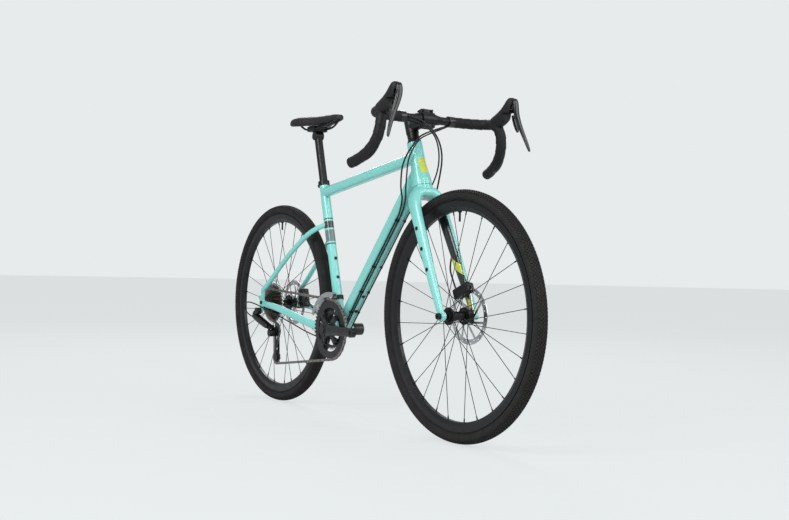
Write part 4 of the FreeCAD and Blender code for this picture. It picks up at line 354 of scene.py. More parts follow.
fork_paint = mint_paint("mint_paint_fork")
facing = fork_paint.node("ShaderNodeSeparateXYZ")
fork_paint.link(fork_paint.node("ShaderNodeNewGeometry").outputs["Normal"], facing.inputs[0])
fork_axes = fork_paint.axes()
inward = fork_paint.maths("MULTIPLY", facing.outputs[1], fork_paint.maths("SIGN", fork_axes[1]))
inner_face = fork_paint.maths("LESS_THAN", inward, inner_face_limit)
fork_height = fork_paint.along(steer_foot, steer_up)
slant = fork_paint.maths("ADD", fork_height, fork_paint.along(steer_foot, steer_ahead))
for low, high, colour in fork_stripes:
    stripe = fork_paint.maths("MULTIPLY", inner_face, fork_paint.band(slant, low, high))
    fork_paint.lay(stripe, colour)
fork_finish = orange_peel(fork_paint)
print("paints:", frame_paint.name, head_finish.name, seat_finish.name, fork_finish.name)

# %% [markdown]
# ## Metal, rubber and plastic
# Black anodised parts differ mostly in how rough they are, so each gets its own grain. Steel has
# fine lines from rolling or turning, and the chain's plates are darkened by oil.

# %% Other finishes
anodised = Finish("black_anodised", tone(20, 20, 21), 0.36, metal=0.3, specular=0.4)
anodised.uneven(40, tone(13, 13, 14), 0.6).rough(60, 0.28, 0.46).grain(2600, 0.00001)
rim_black = Finish("rim_black", tone(17, 17, 18), 0.34, metal=0.2, specular=0.4)
rim_black.uneven(12, tone(24, 24, 25), 0.5).rough(25, 0.26, 0.42).grain(2200, 0.00001)
dark_grey = Finish("dark_grey_alloy", tone(58, 57, 58), 0.36, metal=0.7)
dark_grey.uneven(30, tone(44, 43, 44), 0.6).rough(50, 0.28, 0.44).grain(2400, 0.00001)
bright_steel = Finish("bright_steel", tone(206, 206, 208), 0.26, metal=1.0)
bright_steel.uneven(60, tone(168, 168, 170), 0.5).rough(700, 0.18, 0.36, (1, 0.05, 1))
cog_steel = Finish("cog_steel", tone(128, 118, 112), 0.36, metal=1.0)
cog_steel.uneven(90, tone(84, 76, 72), 0.7).rough(400, 0.26, 0.46)
largest_cog_side = -0.0330
largest_cog = cog_steel.maths("GREATER_THAN", cog_steel.axes()[1], largest_cog_side)
cog_steel.lay(largest_cog, tone(222, 222, 224))
chain_steel = Finish("chain_steel", tone(150, 146, 142), 0.36, metal=1.0)
chain_steel.uneven(160, tone(92, 84, 78), 0.7).rough(300, 0.28, 0.5)
spoke_black = Finish("spoke_black", tone(24, 24, 25), 0.3, metal=0.7)
spoke_black.rough(300, 0.24, 0.4).uneven(80, tone(34, 34, 35), 0.5)
gloss_black = Finish("gloss_black", tone(9, 9, 10), 0.16, coat=0.4, specular=0.3)
gloss_black.uneven(30, tone(16, 16, 17), 0.5).rough(40, 0.1, 0.22)
housing_black = Finish("housing_black", tone(12, 12, 13), 0.34, specular=0.35)
housing_black.uneven(200, tone(20, 20, 21), 0.5).rough(160, 0.28, 0.44).grain(3000, 0.00001)
pulley_black = Finish("pulley_black", tone(24, 24, 25), 0.5)
pulley_black.uneven(120, tone(40, 38, 36), 0.6).grain(2000, 0.00002)
insert_black = Finish("insert_black", tone(22, 22, 23), 0.4, metal=0.4)
insert_black.uneven(300, tone(40, 40, 41), 0.5).rough(500, 0.3, 0.5)

finish_of = {
    "head_tube": head_finish, "seat_tube": seat_finish, "fork": fork_finish,
    "cassette": cog_steel.material, "chain": chain_steel.material,
    "front_rotor": bright_steel.material, "rear_rotor": bright_steel.material,
    "front_derailleur_cage": bright_steel.material, "headset_bearings": bright_steel.material,
    "front_rim": rim_black.material, "rear_rim": rim_black.material,
    "front_spokes": spoke_black.material, "rear_spokes": spoke_black.material,
    "saddle_rails": spoke_black.material, "right_crank": dark_grey.material,
    "left_crank": dark_grey.material, "chainrings": dark_grey.material,
    "guide_pulley": pulley_black.material, "tension_pulley": pulley_black.material,
    "frame_inserts": insert_black.material, "fork_inserts": insert_black.material,
    "cable_clips": housing_black.material,
    "right_shift_paddle": gloss_black.material, "left_shift_paddle": gloss_black.material,
    "right_brake_lever": gloss_black.material, "left_brake_lever": gloss_black.material,
}
for name in ("top_tube", "down_tube", "bottom_bracket_shell", "chainstays", "seatstays",
             "rear_dropouts"):
    finish_of[name] = frame_paint
for name, piece in nodes.items():
    piece.data.materials.clear()
    piece.data.materials.append(finish_of.get(name, anodised.material))
print("finished nodes:", len(nodes))

# %% [markdown]
# ## Modelling helpers
# New pieces start from a primitive and are shaped in edit mode. A form that runs through several
# cross-sections is one filled circle, extruded ring by ring: after each extrude the fresh ring is
# the selection, so its points can be set to the next section.

# %% Helpers for modelling
full_turn, quarter_turn = 2 * math.pi, math.pi / 2


def start_alone():
    bpy.ops.object.select_all(action="DESELECT")


def take(piece):
    start_alone()
    piece.select_set(True)
    bpy.context.view_layer.objects.active = piece


def apply_modifier(piece, kind, **settings):
    take(piece)
    modifier = piece.modifiers.new(kind.lower(), kind)
    for key, value in settings.items():
        setattr(modifier, key, value)
    bpy.ops.object.modifier_apply(modifier=modifier.name)


def rounded(piece, levels):
    apply_modifier(piece, "SUBSURF", levels=levels, render_levels=levels)


def set_selected(mesh, old_ring, new_ring):
    """Moves each selected point from its place in the old ring to its place in the new one."""
    form = bmesh.from_edit_mesh(mesh)
    for vertex in form.verts:
        if vertex.select:
            apart = [(vertex.co - place).length_squared for place in old_ring]
            vertex.co = new_ring[apart.index(min(apart))]
    bmesh.update_edit_mesh(mesh)


def extruded_form(name, rings):
    """Closed form through rings of points, by extruding a filled circle."""
    count = len(rings[0])
    start_alone()
    bpy.ops.mesh.primitive_circle_add(vertices=count, radius=0.01, fill_type="NGON")
    piece = bpy.context.object
    piece.name = name
    bpy.ops.object.mode_set(mode="EDIT")
    bpy.ops.mesh.select_all(action="SELECT")
    form = bmesh.from_edit_mesh(piece.data)
    form.verts.ensure_lookup_table()
    for vertex, place in zip(form.verts, rings[0]):
        vertex.co = place
    bmesh.update_edit_mesh(piece.data)
    for old_ring, new_ring in zip(rings, rings[1:]):
        bpy.ops.mesh.extrude_region()
        set_selected(piece.data, old_ring, new_ring)
    bpy.ops.mesh.select_all(action="SELECT")
    bpy.ops.mesh.normals_make_consistent(inside=False)
    bpy.ops.object.mode_set(mode="OBJECT")
    return piece


def oval(centre, across, over, half_across, half_over, count, fullness):
    """Ring of points: an ellipse with slightly squared sides."""
    ring = []
    for step in range(count):
        turn_angle = full_turn * step / count
        c, s = math.cos(turn_angle), math.sin(turn_angle)
        wide = math.copysign(abs(c) ** fullness, c) * half_across
        high = math.copysign(abs(s) ** fullness, s) * half_over
        ring.append(Vector(centre) + across * wide + over * high)
    return ring


def ovals_along(stations, reference, count=16, fullness=0.86):
    """Rings square to a line of centres; each station is a centre and two half sizes."""
    rings = []
    for index, (centre, half_across, half_over) in enumerate(stations):
        before = Vector(stations[max(index - 1, 0)][0])
        after = Vector(stations[min(index + 1, len(stations) - 1)][0])
        run = (after - before).normalized()
        over = (reference - run * reference.dot(run)).normalized()
        rings.append(oval(centre, over.cross(run), over, half_across, half_over, count, fullness))
    return rings


def cut_box(piece, centre, size):
    """Cuts a box away from a piece with a Boolean."""
    start_alone()
    bpy.ops.mesh.primitive_cube_add(size=1, location=centre, scale=size)
    box = bpy.context.object
    apply_modifier(piece, "BOOLEAN", operation="DIFFERENCE", solver="EXACT", object=box)
    bpy.data.objects.remove(box)


def smooth(piece, angle):
    take(piece)
    bpy.ops.object.shade_smooth_by_angle(angle=math.radians(angle))


def dress(piece, finish):
    piece.data.materials.clear()
    piece.data.materials.append(finish)


def mirror_copy(piece, name):
    """The same piece on the bike's other side, with its faces turned out again."""
    other = piece.copy()
    other.data = piece.data.copy()
    other.name = name
    bpy.context.scene.collection.objects.link(other)
    other.data.transform(Matrix.Scale(-1, 4, (0, 1, 0)))
    other.data.flip_normals()
    return other


print("helpers ready")

# %% [markdown]
# ## Tyres
# A tyre is a rubber arch with rows of small knobs. The arch is an oval cross-section, cut open at
# the rim, drawn down to the beads and spun round the axle. One strip of knobs is modelled at the
# top of the wheel and an Array modifier repeats it round the tread, turned by an empty.

# %% Tyre values and rubber
half_wheelbase, wheel_radius, tyre_middle = 0.521, 0.350, 0.33326
carcass_half_width, carcass_half_height = 0.0197, 0.0153
carcass_points, carcass_steps, carcass_wall, weld_gap = 40, 180, 0.0022, 0.00005
bead_cut = 0.3200
bead_rows = ((0.3178, 0.0096), (0.3118, 0.0094))
ridge_pitch, ridge_depth, ridge_low, ridge_high = 0.0026, 0.00022, 0.321, 0.327
tread_strips = 216
knob_sink, knob_inset, knob_crown = 0.0004, 0.0007, 0.0004
tread_rows = ((0, 0.0062, 0.0040, 0.0017, 0.0), (13, 0.0056, 0.0036, 0.0017, 0.5),
              (27, 0.0060, 0.0042, 0.0018, 0.0), (42, 0.0066, 0.0052, 0.0021, 0.5),
              (57, 0.0050, 0.0040, 0.0016, 0.0))


def tyre_rubber(name, axle):
    rubber = Finish(name, tone(25, 23, 22), 0.72, specular=0.3)
    rubber.uneven(26, tone(33, 30, 29), 0.6).rough(40, 0.62, 0.82)
    spot = rubber.axes()
    across = rubber.maths("SUBTRACT", spot[0], axle[0])
    up = rubber.maths("SUBTRACT", spot[2], axle[2])
    reach = rubber.maths("SQRT", rubber.maths("ADD", rubber.maths("MULTIPLY", across, across),
                                              rubber.maths("MULTIPLY", up, up)))
    wave = rubber.maths("SINE", rubber.maths("MULTIPLY", reach, full_turn / ridge_pitch))
    rings = rubber.maths("MULTIPLY", wave, rubber.band(reach, ridge_low, ridge_high))
    rubber.bump(rings, ridge_depth)
    return rubber.grain(1500, 0.00006).material


# %% Tyre modelling


def tyre_arch(name, axle):
    middle = (axle[0], 0, axle[2] + tyre_middle)
    start_alone()
    bpy.ops.mesh.primitive_circle_add(vertices=carcass_points, radius=carcass_half_width,
                                      location=middle, rotation=(0, quarter_turn, 0))
    arch = bpy.context.object
    arch.name = name
    bpy.ops.object.transform_apply(location=True, rotation=True, scale=True)
    bpy.ops.object.mode_set(mode="EDIT")
    bpy.ops.mesh.select_all(action="SELECT")
    bpy.ops.transform.resize(value=(1, 1, carcass_half_height / carcass_half_width),
                             center_override=middle)
    bpy.ops.mesh.bisect(plane_co=(axle[0], 0, axle[2] + bead_cut), plane_no=(0, 0, 1),
                        clear_inner=True)
    bpy.ops.mesh.select_all(action="DESELECT")
    form = bmesh.from_edit_mesh(arch.data)
    for vertex in form.verts:
        vertex.select = len(vertex.link_edges) == 1
    form.select_flush(True)
    bmesh.update_edit_mesh(arch.data)
    for low, half in bead_rows:
        bpy.ops.mesh.extrude_region()
        form = bmesh.from_edit_mesh(arch.data)
        for vertex in form.verts:
            if vertex.select:
                vertex.co.y = math.copysign(half, vertex.co.y)
                vertex.co.z = axle[2] + low
        bmesh.update_edit_mesh(arch.data)
    bpy.ops.mesh.select_all(action="SELECT")
    bpy.ops.mesh.spin(steps=carcass_steps, angle=full_turn, center=axle, axis=(0, 1, 0))
    bpy.ops.mesh.select_all(action="SELECT")
    bpy.ops.mesh.remove_doubles(threshold=weld_gap)
    bpy.ops.mesh.normals_make_consistent(inside=False)
    bpy.ops.object.mode_set(mode="OBJECT")
    apply_modifier(arch, "SOLIDIFY", thickness=carcass_wall, offset=-1)
    return arch


def knob(turn_degrees, length, width, height, stagger, axle):
    """One knob standing on the arch; its long side follows the tread."""
    lean = math.radians(turn_degrees)
    side = carcass_half_width * math.sin(lean)
    high = tyre_middle + carcass_half_height * math.cos(lean)
    out = Vector((0, math.sin(lean) / carcass_half_width,
                  math.cos(lean) / carcass_half_height)).normalized()
    foot = Vector((axle[0], side, axle[2] + high)) + out * (height / 2 - knob_sink)
    start_alone()
    bpy.ops.mesh.primitive_cube_add(size=1, location=foot,
                                    rotation=(-math.atan2(out.y, out.z), 0, 0),
                                    scale=(length, width, height))
    block = bpy.context.object
    bpy.ops.object.transform_apply(location=True, rotation=True, scale=True)
    bpy.ops.object.mode_set(mode="EDIT")
    bpy.ops.mesh.select_all(action="DESELECT")
    form = bmesh.from_edit_mesh(block.data)
    for face in form.faces:
        face.select = face.normal.dot(out) > 0.9
    bmesh.update_edit_mesh(block.data)
    bpy.ops.mesh.inset(thickness=knob_inset)
    bpy.ops.transform.translate(value=out * knob_crown)
    bpy.ops.object.mode_set(mode="OBJECT")
    step = Matrix.Translation(axle) @ Matrix.Rotation(
        full_turn / tread_strips * stagger, 4, "Y") @ Matrix.Translation(-Vector(axle))
    block.data.transform(step)
    return block


def tread(name, axle):
    blocks = []
    for turn_degrees, length, width, height, stagger in tread_rows:
        for way in ((1, -1) if turn_degrees else (1,)):
            blocks.append(knob(way * turn_degrees, length, width, height, stagger, axle))
    take(blocks[0])
    for block in blocks:
        block.select_set(True)
    bpy.ops.object.join()
    strip = bpy.context.object
    strip.name = name
    bpy.context.scene.cursor.location = axle
    bpy.ops.object.origin_set(type="ORIGIN_CURSOR")
    turner = bpy.data.objects.new("tread_turner", None)
    bpy.context.scene.collection.objects.link(turner)
    turner.location = axle
    turner.rotation_euler = (0, full_turn / tread_strips, 0)
    bpy.context.view_layer.update()
    apply_modifier(strip, "ARRAY", count=tread_strips, use_relative_offset=False,
                   use_object_offset=True, offset_object=turner)
    bpy.data.objects.remove(turner)
    bpy.ops.object.transform_apply(location=True, rotation=True, scale=True)
    bpy.context.scene.cursor.location = (0, 0, 0)
    return strip


for end, way in (("front", 1), ("rear", -1)):
    axle = (way * half_wheelbase, 0, wheel_radius)
    arch = tyre_arch(end + "_tyre_rubber", axle)
    knobs = tread(end + "_tread", axle)
    take(arch)
    knobs.select_set(True)
    bpy.ops.object.join()
    smooth(arch, 35)
    dress(arch, tyre_rubber(end + "_tyre_rubber", axle))
    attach(arch, end + "_wheel")
    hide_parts(end + "_tyre")
    print(arch.name, len(arch.data.polygons), "faces")

# %% [markdown]
# ## Cables and hoses
# Each line is one smooth NURBS spline through the route's points, as thick as the housing. The
# lines on the frame keep still. The loops at the handlebar become closed tubes: the front brake
# loop moves with the front end, and the other three are left in place on no body.

# %% Routes along the frame
shift_housing, brake_hose = 0.0044, 0.0050
frame_routes = {
    "rear_brake_line": (brake_hose, (
        (0.2515, -0.0200, 0.6391), (0.1467, -0.0200, 0.5182), (0.0337, -0.0200, 0.3912),
        (-0.0484, -0.0180, 0.2902), (-0.0840, -0.0140, 0.2360), (-0.1500, 0.0120, 0.2360),
        (-0.2140, 0.0330, 0.2560), (-0.2640, 0.0360, 0.2820), (-0.3300, 0.0480, 0.3120),
        (-0.3920, 0.0530, 0.3400), (-0.4345, 0.0550, 0.3715))),
    "rear_shift_line": (shift_housing, (
        (0.2545, 0.0100, 0.6364), (0.1497, 0.0100, 0.5156), (0.0367, 0.0100, 0.3885),
        (-0.0484, 0.0100, 0.2902), (-0.0840, 0.0090, 0.2430), (-0.1500, -0.0160, 0.2440),
        (-0.2160, -0.0420, 0.2520), (-0.3300, -0.0640, 0.2900), (-0.4400, -0.0780, 0.3180),
        (-0.5360, -0.1040, 0.3500), (-0.5960, -0.1060, 0.3500), (-0.6040, -0.1000, 0.3120),
        (-0.5660, -0.0940, 0.3000))),
    "front_shift_line": (shift_housing, (
        (0.2538, -0.0130, 0.6371), (0.1489, -0.0130, 0.5162), (0.0360, -0.0130, 0.3892),
        (-0.0484, -0.0110, 0.2902), (-0.0840, -0.0100, 0.2420), (-0.1360, -0.0090, 0.2500),
        (-0.1500, -0.0160, 0.3000), (-0.1520, -0.0220, 0.3680))),
}
fork_route = (brake_hose, ((0.4289, 0.0460, 0.5192), (0.4235, 0.0400, 0.4857),
                           (0.4384, 0.0430, 0.4485), (0.4558, 0.0440, 0.4164)))


def spline_line(name, diameter, points):
    data = bpy.data.curves.new(name, "CURVE")
    data.dimensions = "3D"
    data.resolution_u = 10
    spline = data.splines.new("NURBS")
    spline.points.add(len(points) - 1)
    for point, place in zip(spline.points, points):
        point.co = (*place, 1)
    spline.order_u = 3
    spline.use_endpoint_u = True
    line = bpy.data.objects.new(name, data)
    bpy.context.scene.collection.objects.link(line)
    centres = bpy.data.meshes.new_from_object(line)
    route = [tuple(v.co) for v in centres.vertices]
    data.bevel_depth = diameter / 2
    data.bevel_resolution = 4
    data.use_fill_caps = True
    return line, route


def as_tube(line):
    """The line as a mesh, with both ends closed by one face."""
    line.data.use_fill_caps = False
    take(line)
    bpy.ops.object.convert(target="MESH")
    tube = bpy.context.object
    bpy.ops.object.mode_set(mode="EDIT")
    bpy.ops.mesh.select_all(action="SELECT")
    bpy.ops.mesh.fill_holes(sides=0)
    bpy.ops.mesh.normals_make_consistent(inside=False)
    bpy.ops.object.mode_set(mode="OBJECT")
    return tube


for name, (diameter, points) in frame_routes.items():
    line, route = spline_line(name, diameter, points)
    dress(line, housing_black.material)
    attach(line, "frame")
    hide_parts("frame_cables")
    print(name, "points:", len(route))
hose, _ = spline_line("fork_brake_hose", *fork_route)
dress(hose, housing_black.material)
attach(hose, "front_end")
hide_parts("fork_hose")

# %% Loops at the handlebar
loop_routes = {
    "front_brake_loop": (brake_hose, (
        (0.3679, -0.0773, 0.9146), (0.3741, -0.0600, 0.9131), (0.3861, -0.0340, 0.9011),
        (0.3921, -0.0040, 0.8791), (0.3921, 0.0220, 0.8451), (0.3871, 0.0360, 0.8051),
        (0.3751, 0.0400, 0.7611), (0.3610, 0.0375, 0.7080))),
    "rear_shift_loop": (shift_housing, (
        (0.3666, -0.0773, 0.9066), (0.3711, -0.0600, 0.9041), (0.3791, -0.0340, 0.8951),
        (0.3831, -0.0060, 0.8791), (0.3811, 0.0180, 0.8551), (0.3751, 0.0340, 0.8151),
        (0.3631, 0.0400, 0.7731), (0.3391, 0.0420, 0.7331), (0.3091, 0.0380, 0.6991),
        (0.2889, 0.0140, 0.6755), (0.2551, 0.0100, 0.6370))),
    "front_shift_loop": (shift_housing, (
        (0.3531, 0.0773, 0.8985), (0.3481, 0.0580, 0.8891), (0.3331, 0.0260, 0.8751),
        (0.3281, -0.0060, 0.8581), (0.3291, -0.0300, 0.8241), (0.3191, -0.0380, 0.7951),
        (0.3161, -0.0400, 0.7381), (0.3101, -0.0380, 0.7131), (0.2838, -0.0180, 0.6773),
        (0.2543, -0.0130, 0.6377))),
    "rear_brake_loop": (brake_hose, (
        (0.3451, 0.0773, 0.9001), (0.3361, 0.0500, 0.8901), (0.3351, 0.0100, 0.8751),
        (0.3401, -0.0160, 0.8611), (0.3321, -0.0340, 0.8331), (0.3181, -0.0440, 0.8071),
        (0.3021, -0.0470, 0.7751), (0.2951, -0.0450, 0.7351), (0.2891, -0.0400, 0.7071),
        (0.2808, -0.0270, 0.6799), (0.2521, -0.0200, 0.6397))),
}
for name, (diameter, points) in loop_routes.items():
    loop, route = spline_line(name, diameter, points)
    loop = as_tube(loop)
    smooth(loop, 60)
    dress(loop, housing_black.material)
    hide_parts("cable_loops")
    if name == "front_brake_loop":
        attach(loop, "front_end")
    else:
        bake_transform(loop)

# %% [markdown]
# ## Bar tape
# Tape is wound up the bar in overlapping turns, so its surface climbs slowly along each turn and
# drops at the next edge. The tube follows the bar's own line as a spline; after it becomes a mesh,
# each ring of points is lifted by how far along the turn it lies.

# %% Wind the bar tape
tape_radius, tape_pitch, tape_lift = 0.0148, 0.0270, 0.0011
wrap_rounding, wrap_resolution = 10, 90
climb_end, edge_start, edge_share = 0.9, 0.95, 0.05
bar_line = ((0.3531, -0.0780, 0.9131), (0.3531, -0.1900, 0.9131), (0.4451, -0.2070, 0.9088),
            (0.4241, -0.2240, 0.7930), (0.3381, -0.2430, 0.7701))


def wound_tape(name):
    wrap, _ = spline_line(name, 2 * tape_radius, bar_line)
    wrap.data.resolution_u = wrap_resolution
    wrap.data.bevel_resolution = wrap_rounding
    wrap = as_tube(wrap)
    around = 2 * (wrap_rounding + 2)
    points = wrap.data.vertices
    rows = len(points) // around
    run, last = 0.0, None
    for row in range(rows):
        ring = [points[row * around + step] for step in range(around)]
        centre = sum((v.co for v in ring), Vector()) / around
        run += (centre - last).length if last else 0.0
        last = centre
        for step, vertex in enumerate(ring):
            share = (run / tape_pitch + step / around) % 1.0
            rising = share < edge_start
            climb = min(1.0, share / climb_end) if rising else (1.0 - share) / edge_share
            vertex.co = centre + (vertex.co - centre) * (1 + tape_lift * climb / tape_radius)
    smooth(wrap, 45)
    return wrap


wrap_finish = Finish("bar_wrap", tone(17, 16, 16), 0.62, specular=0.3)
wrap_finish.uneven(60, tone(24, 22, 22), 0.6).rough(120, 0.5, 0.72).grain(900, 0.0001)
wrap_finish.grain(3500, 0.00004)
right_wrap = wound_tape("right_bar_wrap")
left_wrap = mirror_copy(right_wrap, "left_bar_wrap")
for wrap in (right_wrap, left_wrap):
    dress(wrap, wrap_finish.material)
    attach(wrap, "front_end")
    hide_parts("bar_tape")
print("tape faces:", len(right_wrap.data.polygons))

# %% [markdown]
# The tape's inner end is held by a strip of thin gloss tape, and a plug closes each end of the bar.
# Both are turned shapes: a short cylinder whose end face is inset and pushed on.

# %% Finishing strips and end plugs
plug_radius, plug_length, plug_lip, plug_out = 0.0150, 0.0026, 0.0030, 0.0012
strip_place = (0.3531, -0.0865, 0.9131)
strip_radius, strip_length, strip_lip = 0.01625, 0.0180, 0.0008
lip_rise_share = 0.6


def turned_button(name, place, axis, radius, length, lip):
    """Short cylinder on an axis, with a smaller step on its outer face."""
    direction = Vector(axis).normalized()
    start_alone()
    bpy.ops.mesh.primitive_cylinder_add(vertices=40, radius=radius, depth=length, location=place,
                                        rotation=direction.to_track_quat("Z", "Y").to_euler())
    button = bpy.context.object
    button.name = name
    bpy.ops.object.transform_apply(location=True, rotation=True, scale=True)
    bpy.ops.object.mode_set(mode="EDIT")
    bpy.ops.mesh.select_all(action="DESELECT")
    form = bmesh.from_edit_mesh(button.data)
    for face in form.faces:
        face.select = face.normal.dot(direction) > 0.9
    bmesh.update_edit_mesh(button.data)
    bpy.ops.mesh.inset(thickness=lip)
    bpy.ops.transform.translate(value=direction * lip * lip_rise_share)
    bpy.ops.object.mode_set(mode="OBJECT")
    smooth(button, 50)
    return button


bar_end = Vector(bar_line[-1])
bar_end_run = (bar_end - Vector(bar_line[-2])).normalized()
right_plug = turned_button("right_bar_plug", bar_end + bar_end_run * plug_out, bar_end_run,
                           plug_radius, plug_length, plug_lip)
right_strip = turned_button("right_tape_strip", strip_place, (0, 1, 0), strip_radius, strip_length,
                            strip_lip)
for piece, finish, slot in ((right_plug, gloss_black, "black_alloy"),
                            (right_strip, gloss_black, "bar_wrap")):
    other = mirror_copy(piece, piece.name.replace("right", "left"))
    for button in (piece, other):
        dress(button, finish.material)
        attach(button, "front_end")
        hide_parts("bar_tape")
print("strips and plugs placed")

# %% [markdown]
# ## Hoods
# A rubber hood wraps the lever body: it grows out of the bar, carries the palm and rises into a
# horn at the front. Seven ovals along its line are extruded and rounded by subdivision. A bay cut
# into the front with a Boolean leaves two ears, between which the lever's lug turns, and a second
# cut below it leaves room for the shift paddle when the lever is pulled.

# %% Model the hoods
hood_line = ((0.4046, 0.9091, 0.0140, 0.0174), (0.4275, 0.9144, 0.0168, 0.0212),
             (0.4504, 0.9223, 0.0175, 0.0235), (0.4732, 0.9368, 0.0175, 0.0221),
             (0.4890, 0.9566, 0.0166, 0.0188), (0.4961, 0.9738, 0.0137, 0.0129),
             (0.4968, 0.9791, 0.0070, 0.0066))
hood_side, hood_back, hood_lift = -0.203, 0.0007, 0.0004
lever_bay = ((0.5216, -0.2030, 0.9181), (0.0760, 0.0206, 0.0800))
paddle_room = ((0.5126, -0.2030, 0.8974), (0.0800, 0.0500, 0.0800))
hood_stations = [((x - hood_back, hood_side, z + hood_lift), wide, high)
                 for x, z, wide, high in hood_line]
hood_rubber = Finish("hood_rubber", tone(16, 15, 15), 0.55, specular=0.35)
hood_rubber.uneven(50, tone(23, 22, 22), 0.5).rough(90, 0.48, 0.68).grain(2600, 0.00005)
right_hood = extruded_form("right_hood_rubber", ovals_along(hood_stations, Vector((0, 0, 1))))
rounded(right_hood, 2)
cut_box(right_hood, *lever_bay)
cut_box(right_hood, *paddle_room)
smooth(right_hood, 50)
left_hood = mirror_copy(right_hood, "left_hood_rubber")
for hood in (right_hood, left_hood):
    dress(hood, hood_rubber.material)
    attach(hood, "front_end")
    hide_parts("brake_hoods")
print("hood faces:", len(right_hood.data.polygons))

# %% [markdown]
# ## Brake levers
# Each blade begins as a glossy plate on the front of the hood's horn, narrows below the fingers
# and flares outward to its tip. It is lofted like the hood and turns with the brake lever's body,
# on a lug that reaches back into the hood's bay. A boss and a pin behind it carry the shift paddle.

# %% Model the levers
lever_line = (
    ((0.5090, -0.2030, 0.9750), 0.0048, 0.0020), ((0.5112, -0.2030, 0.9710), 0.0088, 0.0030),
    ((0.5128, -0.2033, 0.9590), 0.0106, 0.0042), ((0.5120, -0.2042, 0.9440), 0.0110, 0.0052),
    ((0.5110, -0.2083, 0.9255), 0.0100, 0.0056), ((0.5125, -0.2215, 0.8922), 0.0082, 0.0044),
    ((0.5190, -0.2373, 0.8551), 0.0066, 0.0034), ((0.5244, -0.2457, 0.8295), 0.0056, 0.0028),
    ((0.5258, -0.2470, 0.8231), 0.0028, 0.0014))
lug_place, lug_size = (0.5010, -0.2030, 0.9511), (0.0200, 0.0150, 0.0100)
hub_place, boss_place, pin_place = ((0.4911, -0.2030, 0.9511), (0.50375, -0.2104, 0.9224),
                                    (0.5002, -0.2104, 0.9224))
lever_rounds = ((0.0064, 0.0190, hub_place, (quarter_turn, 0, 0)),
                (0.0036, 0.0125, boss_place, (0, quarter_turn, 0)),
                (0.0017, 0.0180, pin_place, (0, quarter_turn, 0)))
right_lever = extruded_form("right_lever_blade", ovals_along(lever_line, Vector((1, 0, 0)), 12))
rounded(right_lever, 2)
start_alone()
bpy.ops.mesh.primitive_cube_add(size=1, location=lug_place, scale=lug_size)
lever_pieces = [bpy.context.object]
for radius, depth, place, spin in lever_rounds:
    start_alone()
    bpy.ops.mesh.primitive_cylinder_add(vertices=32, radius=radius, depth=depth, location=place,
                                        rotation=spin)
    lever_pieces.append(bpy.context.object)
take(right_lever)
for piece in lever_pieces:
    piece.select_set(True)
bpy.ops.object.join()
smooth(right_lever, 60)
left_lever = mirror_copy(right_lever, "left_lever_blade")
for lever, hand in ((right_lever, "right"), (left_lever, "left")):
    dress(lever, gloss_black.material)
    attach(lever, hand + "_lever")
    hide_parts(hand + "_brake_lever")
print("lever faces:", len(right_lever.data.polygons))

# %% [markdown]
# ## Saddle
# A narrow nose, a waist and two wide wings: the saddle is a row of cross-sections from tail to
# nose, each a crowned top that rolls over at the sides to a hollow underside. The rings are
# extruded in turn and smoothed by subdivision.

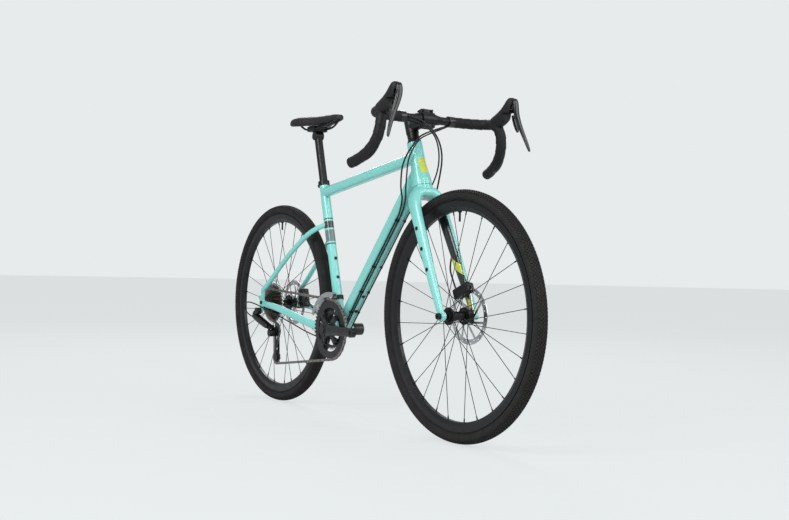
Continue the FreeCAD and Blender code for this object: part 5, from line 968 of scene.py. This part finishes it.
# %% Model the saddle
rail_centre = Vector((-0.2810, 0.0, 0.9487))
saddle_length, saddle_width, saddle_setback = 0.270, 0.142, 0.112
saddle_rise, saddle_depth = 0.047, 0.040
saddle_rows = ((0.0, 0.42, 0.84, 0.34), (0.05, 0.72, 0.92, 0.62), (0.14, 0.97, 0.985, 0.92),
               (0.24, 1.0, 1.0, 1.0), (0.36, 0.86, 0.96, 1.0), (0.48, 0.6, 0.9, 0.9),
               (0.62, 0.4, 0.86, 0.76), (0.8, 0.3, 0.84, 0.64), (0.93, 0.25, 0.8, 0.54),
               (0.985, 0.16, 0.72, 0.36), (1.0, 0.08, 0.66, 0.2))
saddle_half = ((0.0, 0.0), (0.2, 0.005), (0.42, 0.03), (0.62, 0.085), (0.78, 0.17), (0.9, 0.3),
               (0.97, 0.5), (1.0, 0.8), (0.93, 0.98), (0.7, 0.9), (0.4, 0.74), (0.0, 0.68))


def saddle_ring(along, wide, crest, deep):
    x = rail_centre.x - saddle_setback + saddle_length * along
    top = rail_centre.z + saddle_rise * crest
    half = [Vector((x, saddle_width / 2 * wide * across, top - saddle_depth * deep * fall))
            for across, fall in saddle_half]
    other = [Vector((x, -point.y, point.z)) for point in reversed(half[1:-1])]
    return half + other


saddle_cover = Finish("saddle_cover", tone(18, 17, 17), 0.5, specular=0.4)
saddle_cover.uneven(30, tone(26, 24, 24), 0.5).rough(60, 0.4, 0.58).grain(1400, 0.00008)
saddle = extruded_form("saddle_cushion", [saddle_ring(*row) for row in saddle_rows])
rounded(saddle, 2)
smooth(saddle, 60)
dress(saddle, saddle_cover.material)
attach(saddle, "seat")
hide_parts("saddle")
print("saddle faces:", len(saddle.data.polygons))

# %% [markdown]
# ## Derailleur cover
# The outer link of the rear derailleur is a forged plate, broader than the pins it joins. A tapered
# cover on its outer face gives it that body; it is one loft of five sections and swings with the
# link.

# %% Model the derailleur cover
cover_line = (
    ((-0.5490, -0.0962, 0.3030), 0.0060, 0.0018), ((-0.5440, -0.0958, 0.3010), 0.0100, 0.0030),
    ((-0.5120, -0.0858, 0.2835), 0.0115, 0.0034), ((-0.4830, -0.0767, 0.2670), 0.0090, 0.0028),
    ((-0.4790, -0.0757, 0.2648), 0.0055, 0.0016))
cover = extruded_form("derailleur_cover", ovals_along(cover_line, Vector((0, -1, 0)), 16, 0.6))
rounded(cover, 2)
smooth(cover, 60)
dress(cover, gloss_black.material)
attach(cover, "outer_link")
print("cover faces:", len(cover.data.polygons))

# %% [markdown]
# ## Last step
# The size of the dressed bike is printed.

# %% Sizes and finish
low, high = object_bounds()
print("visual box:", [round(v, 3) for v in high - low])
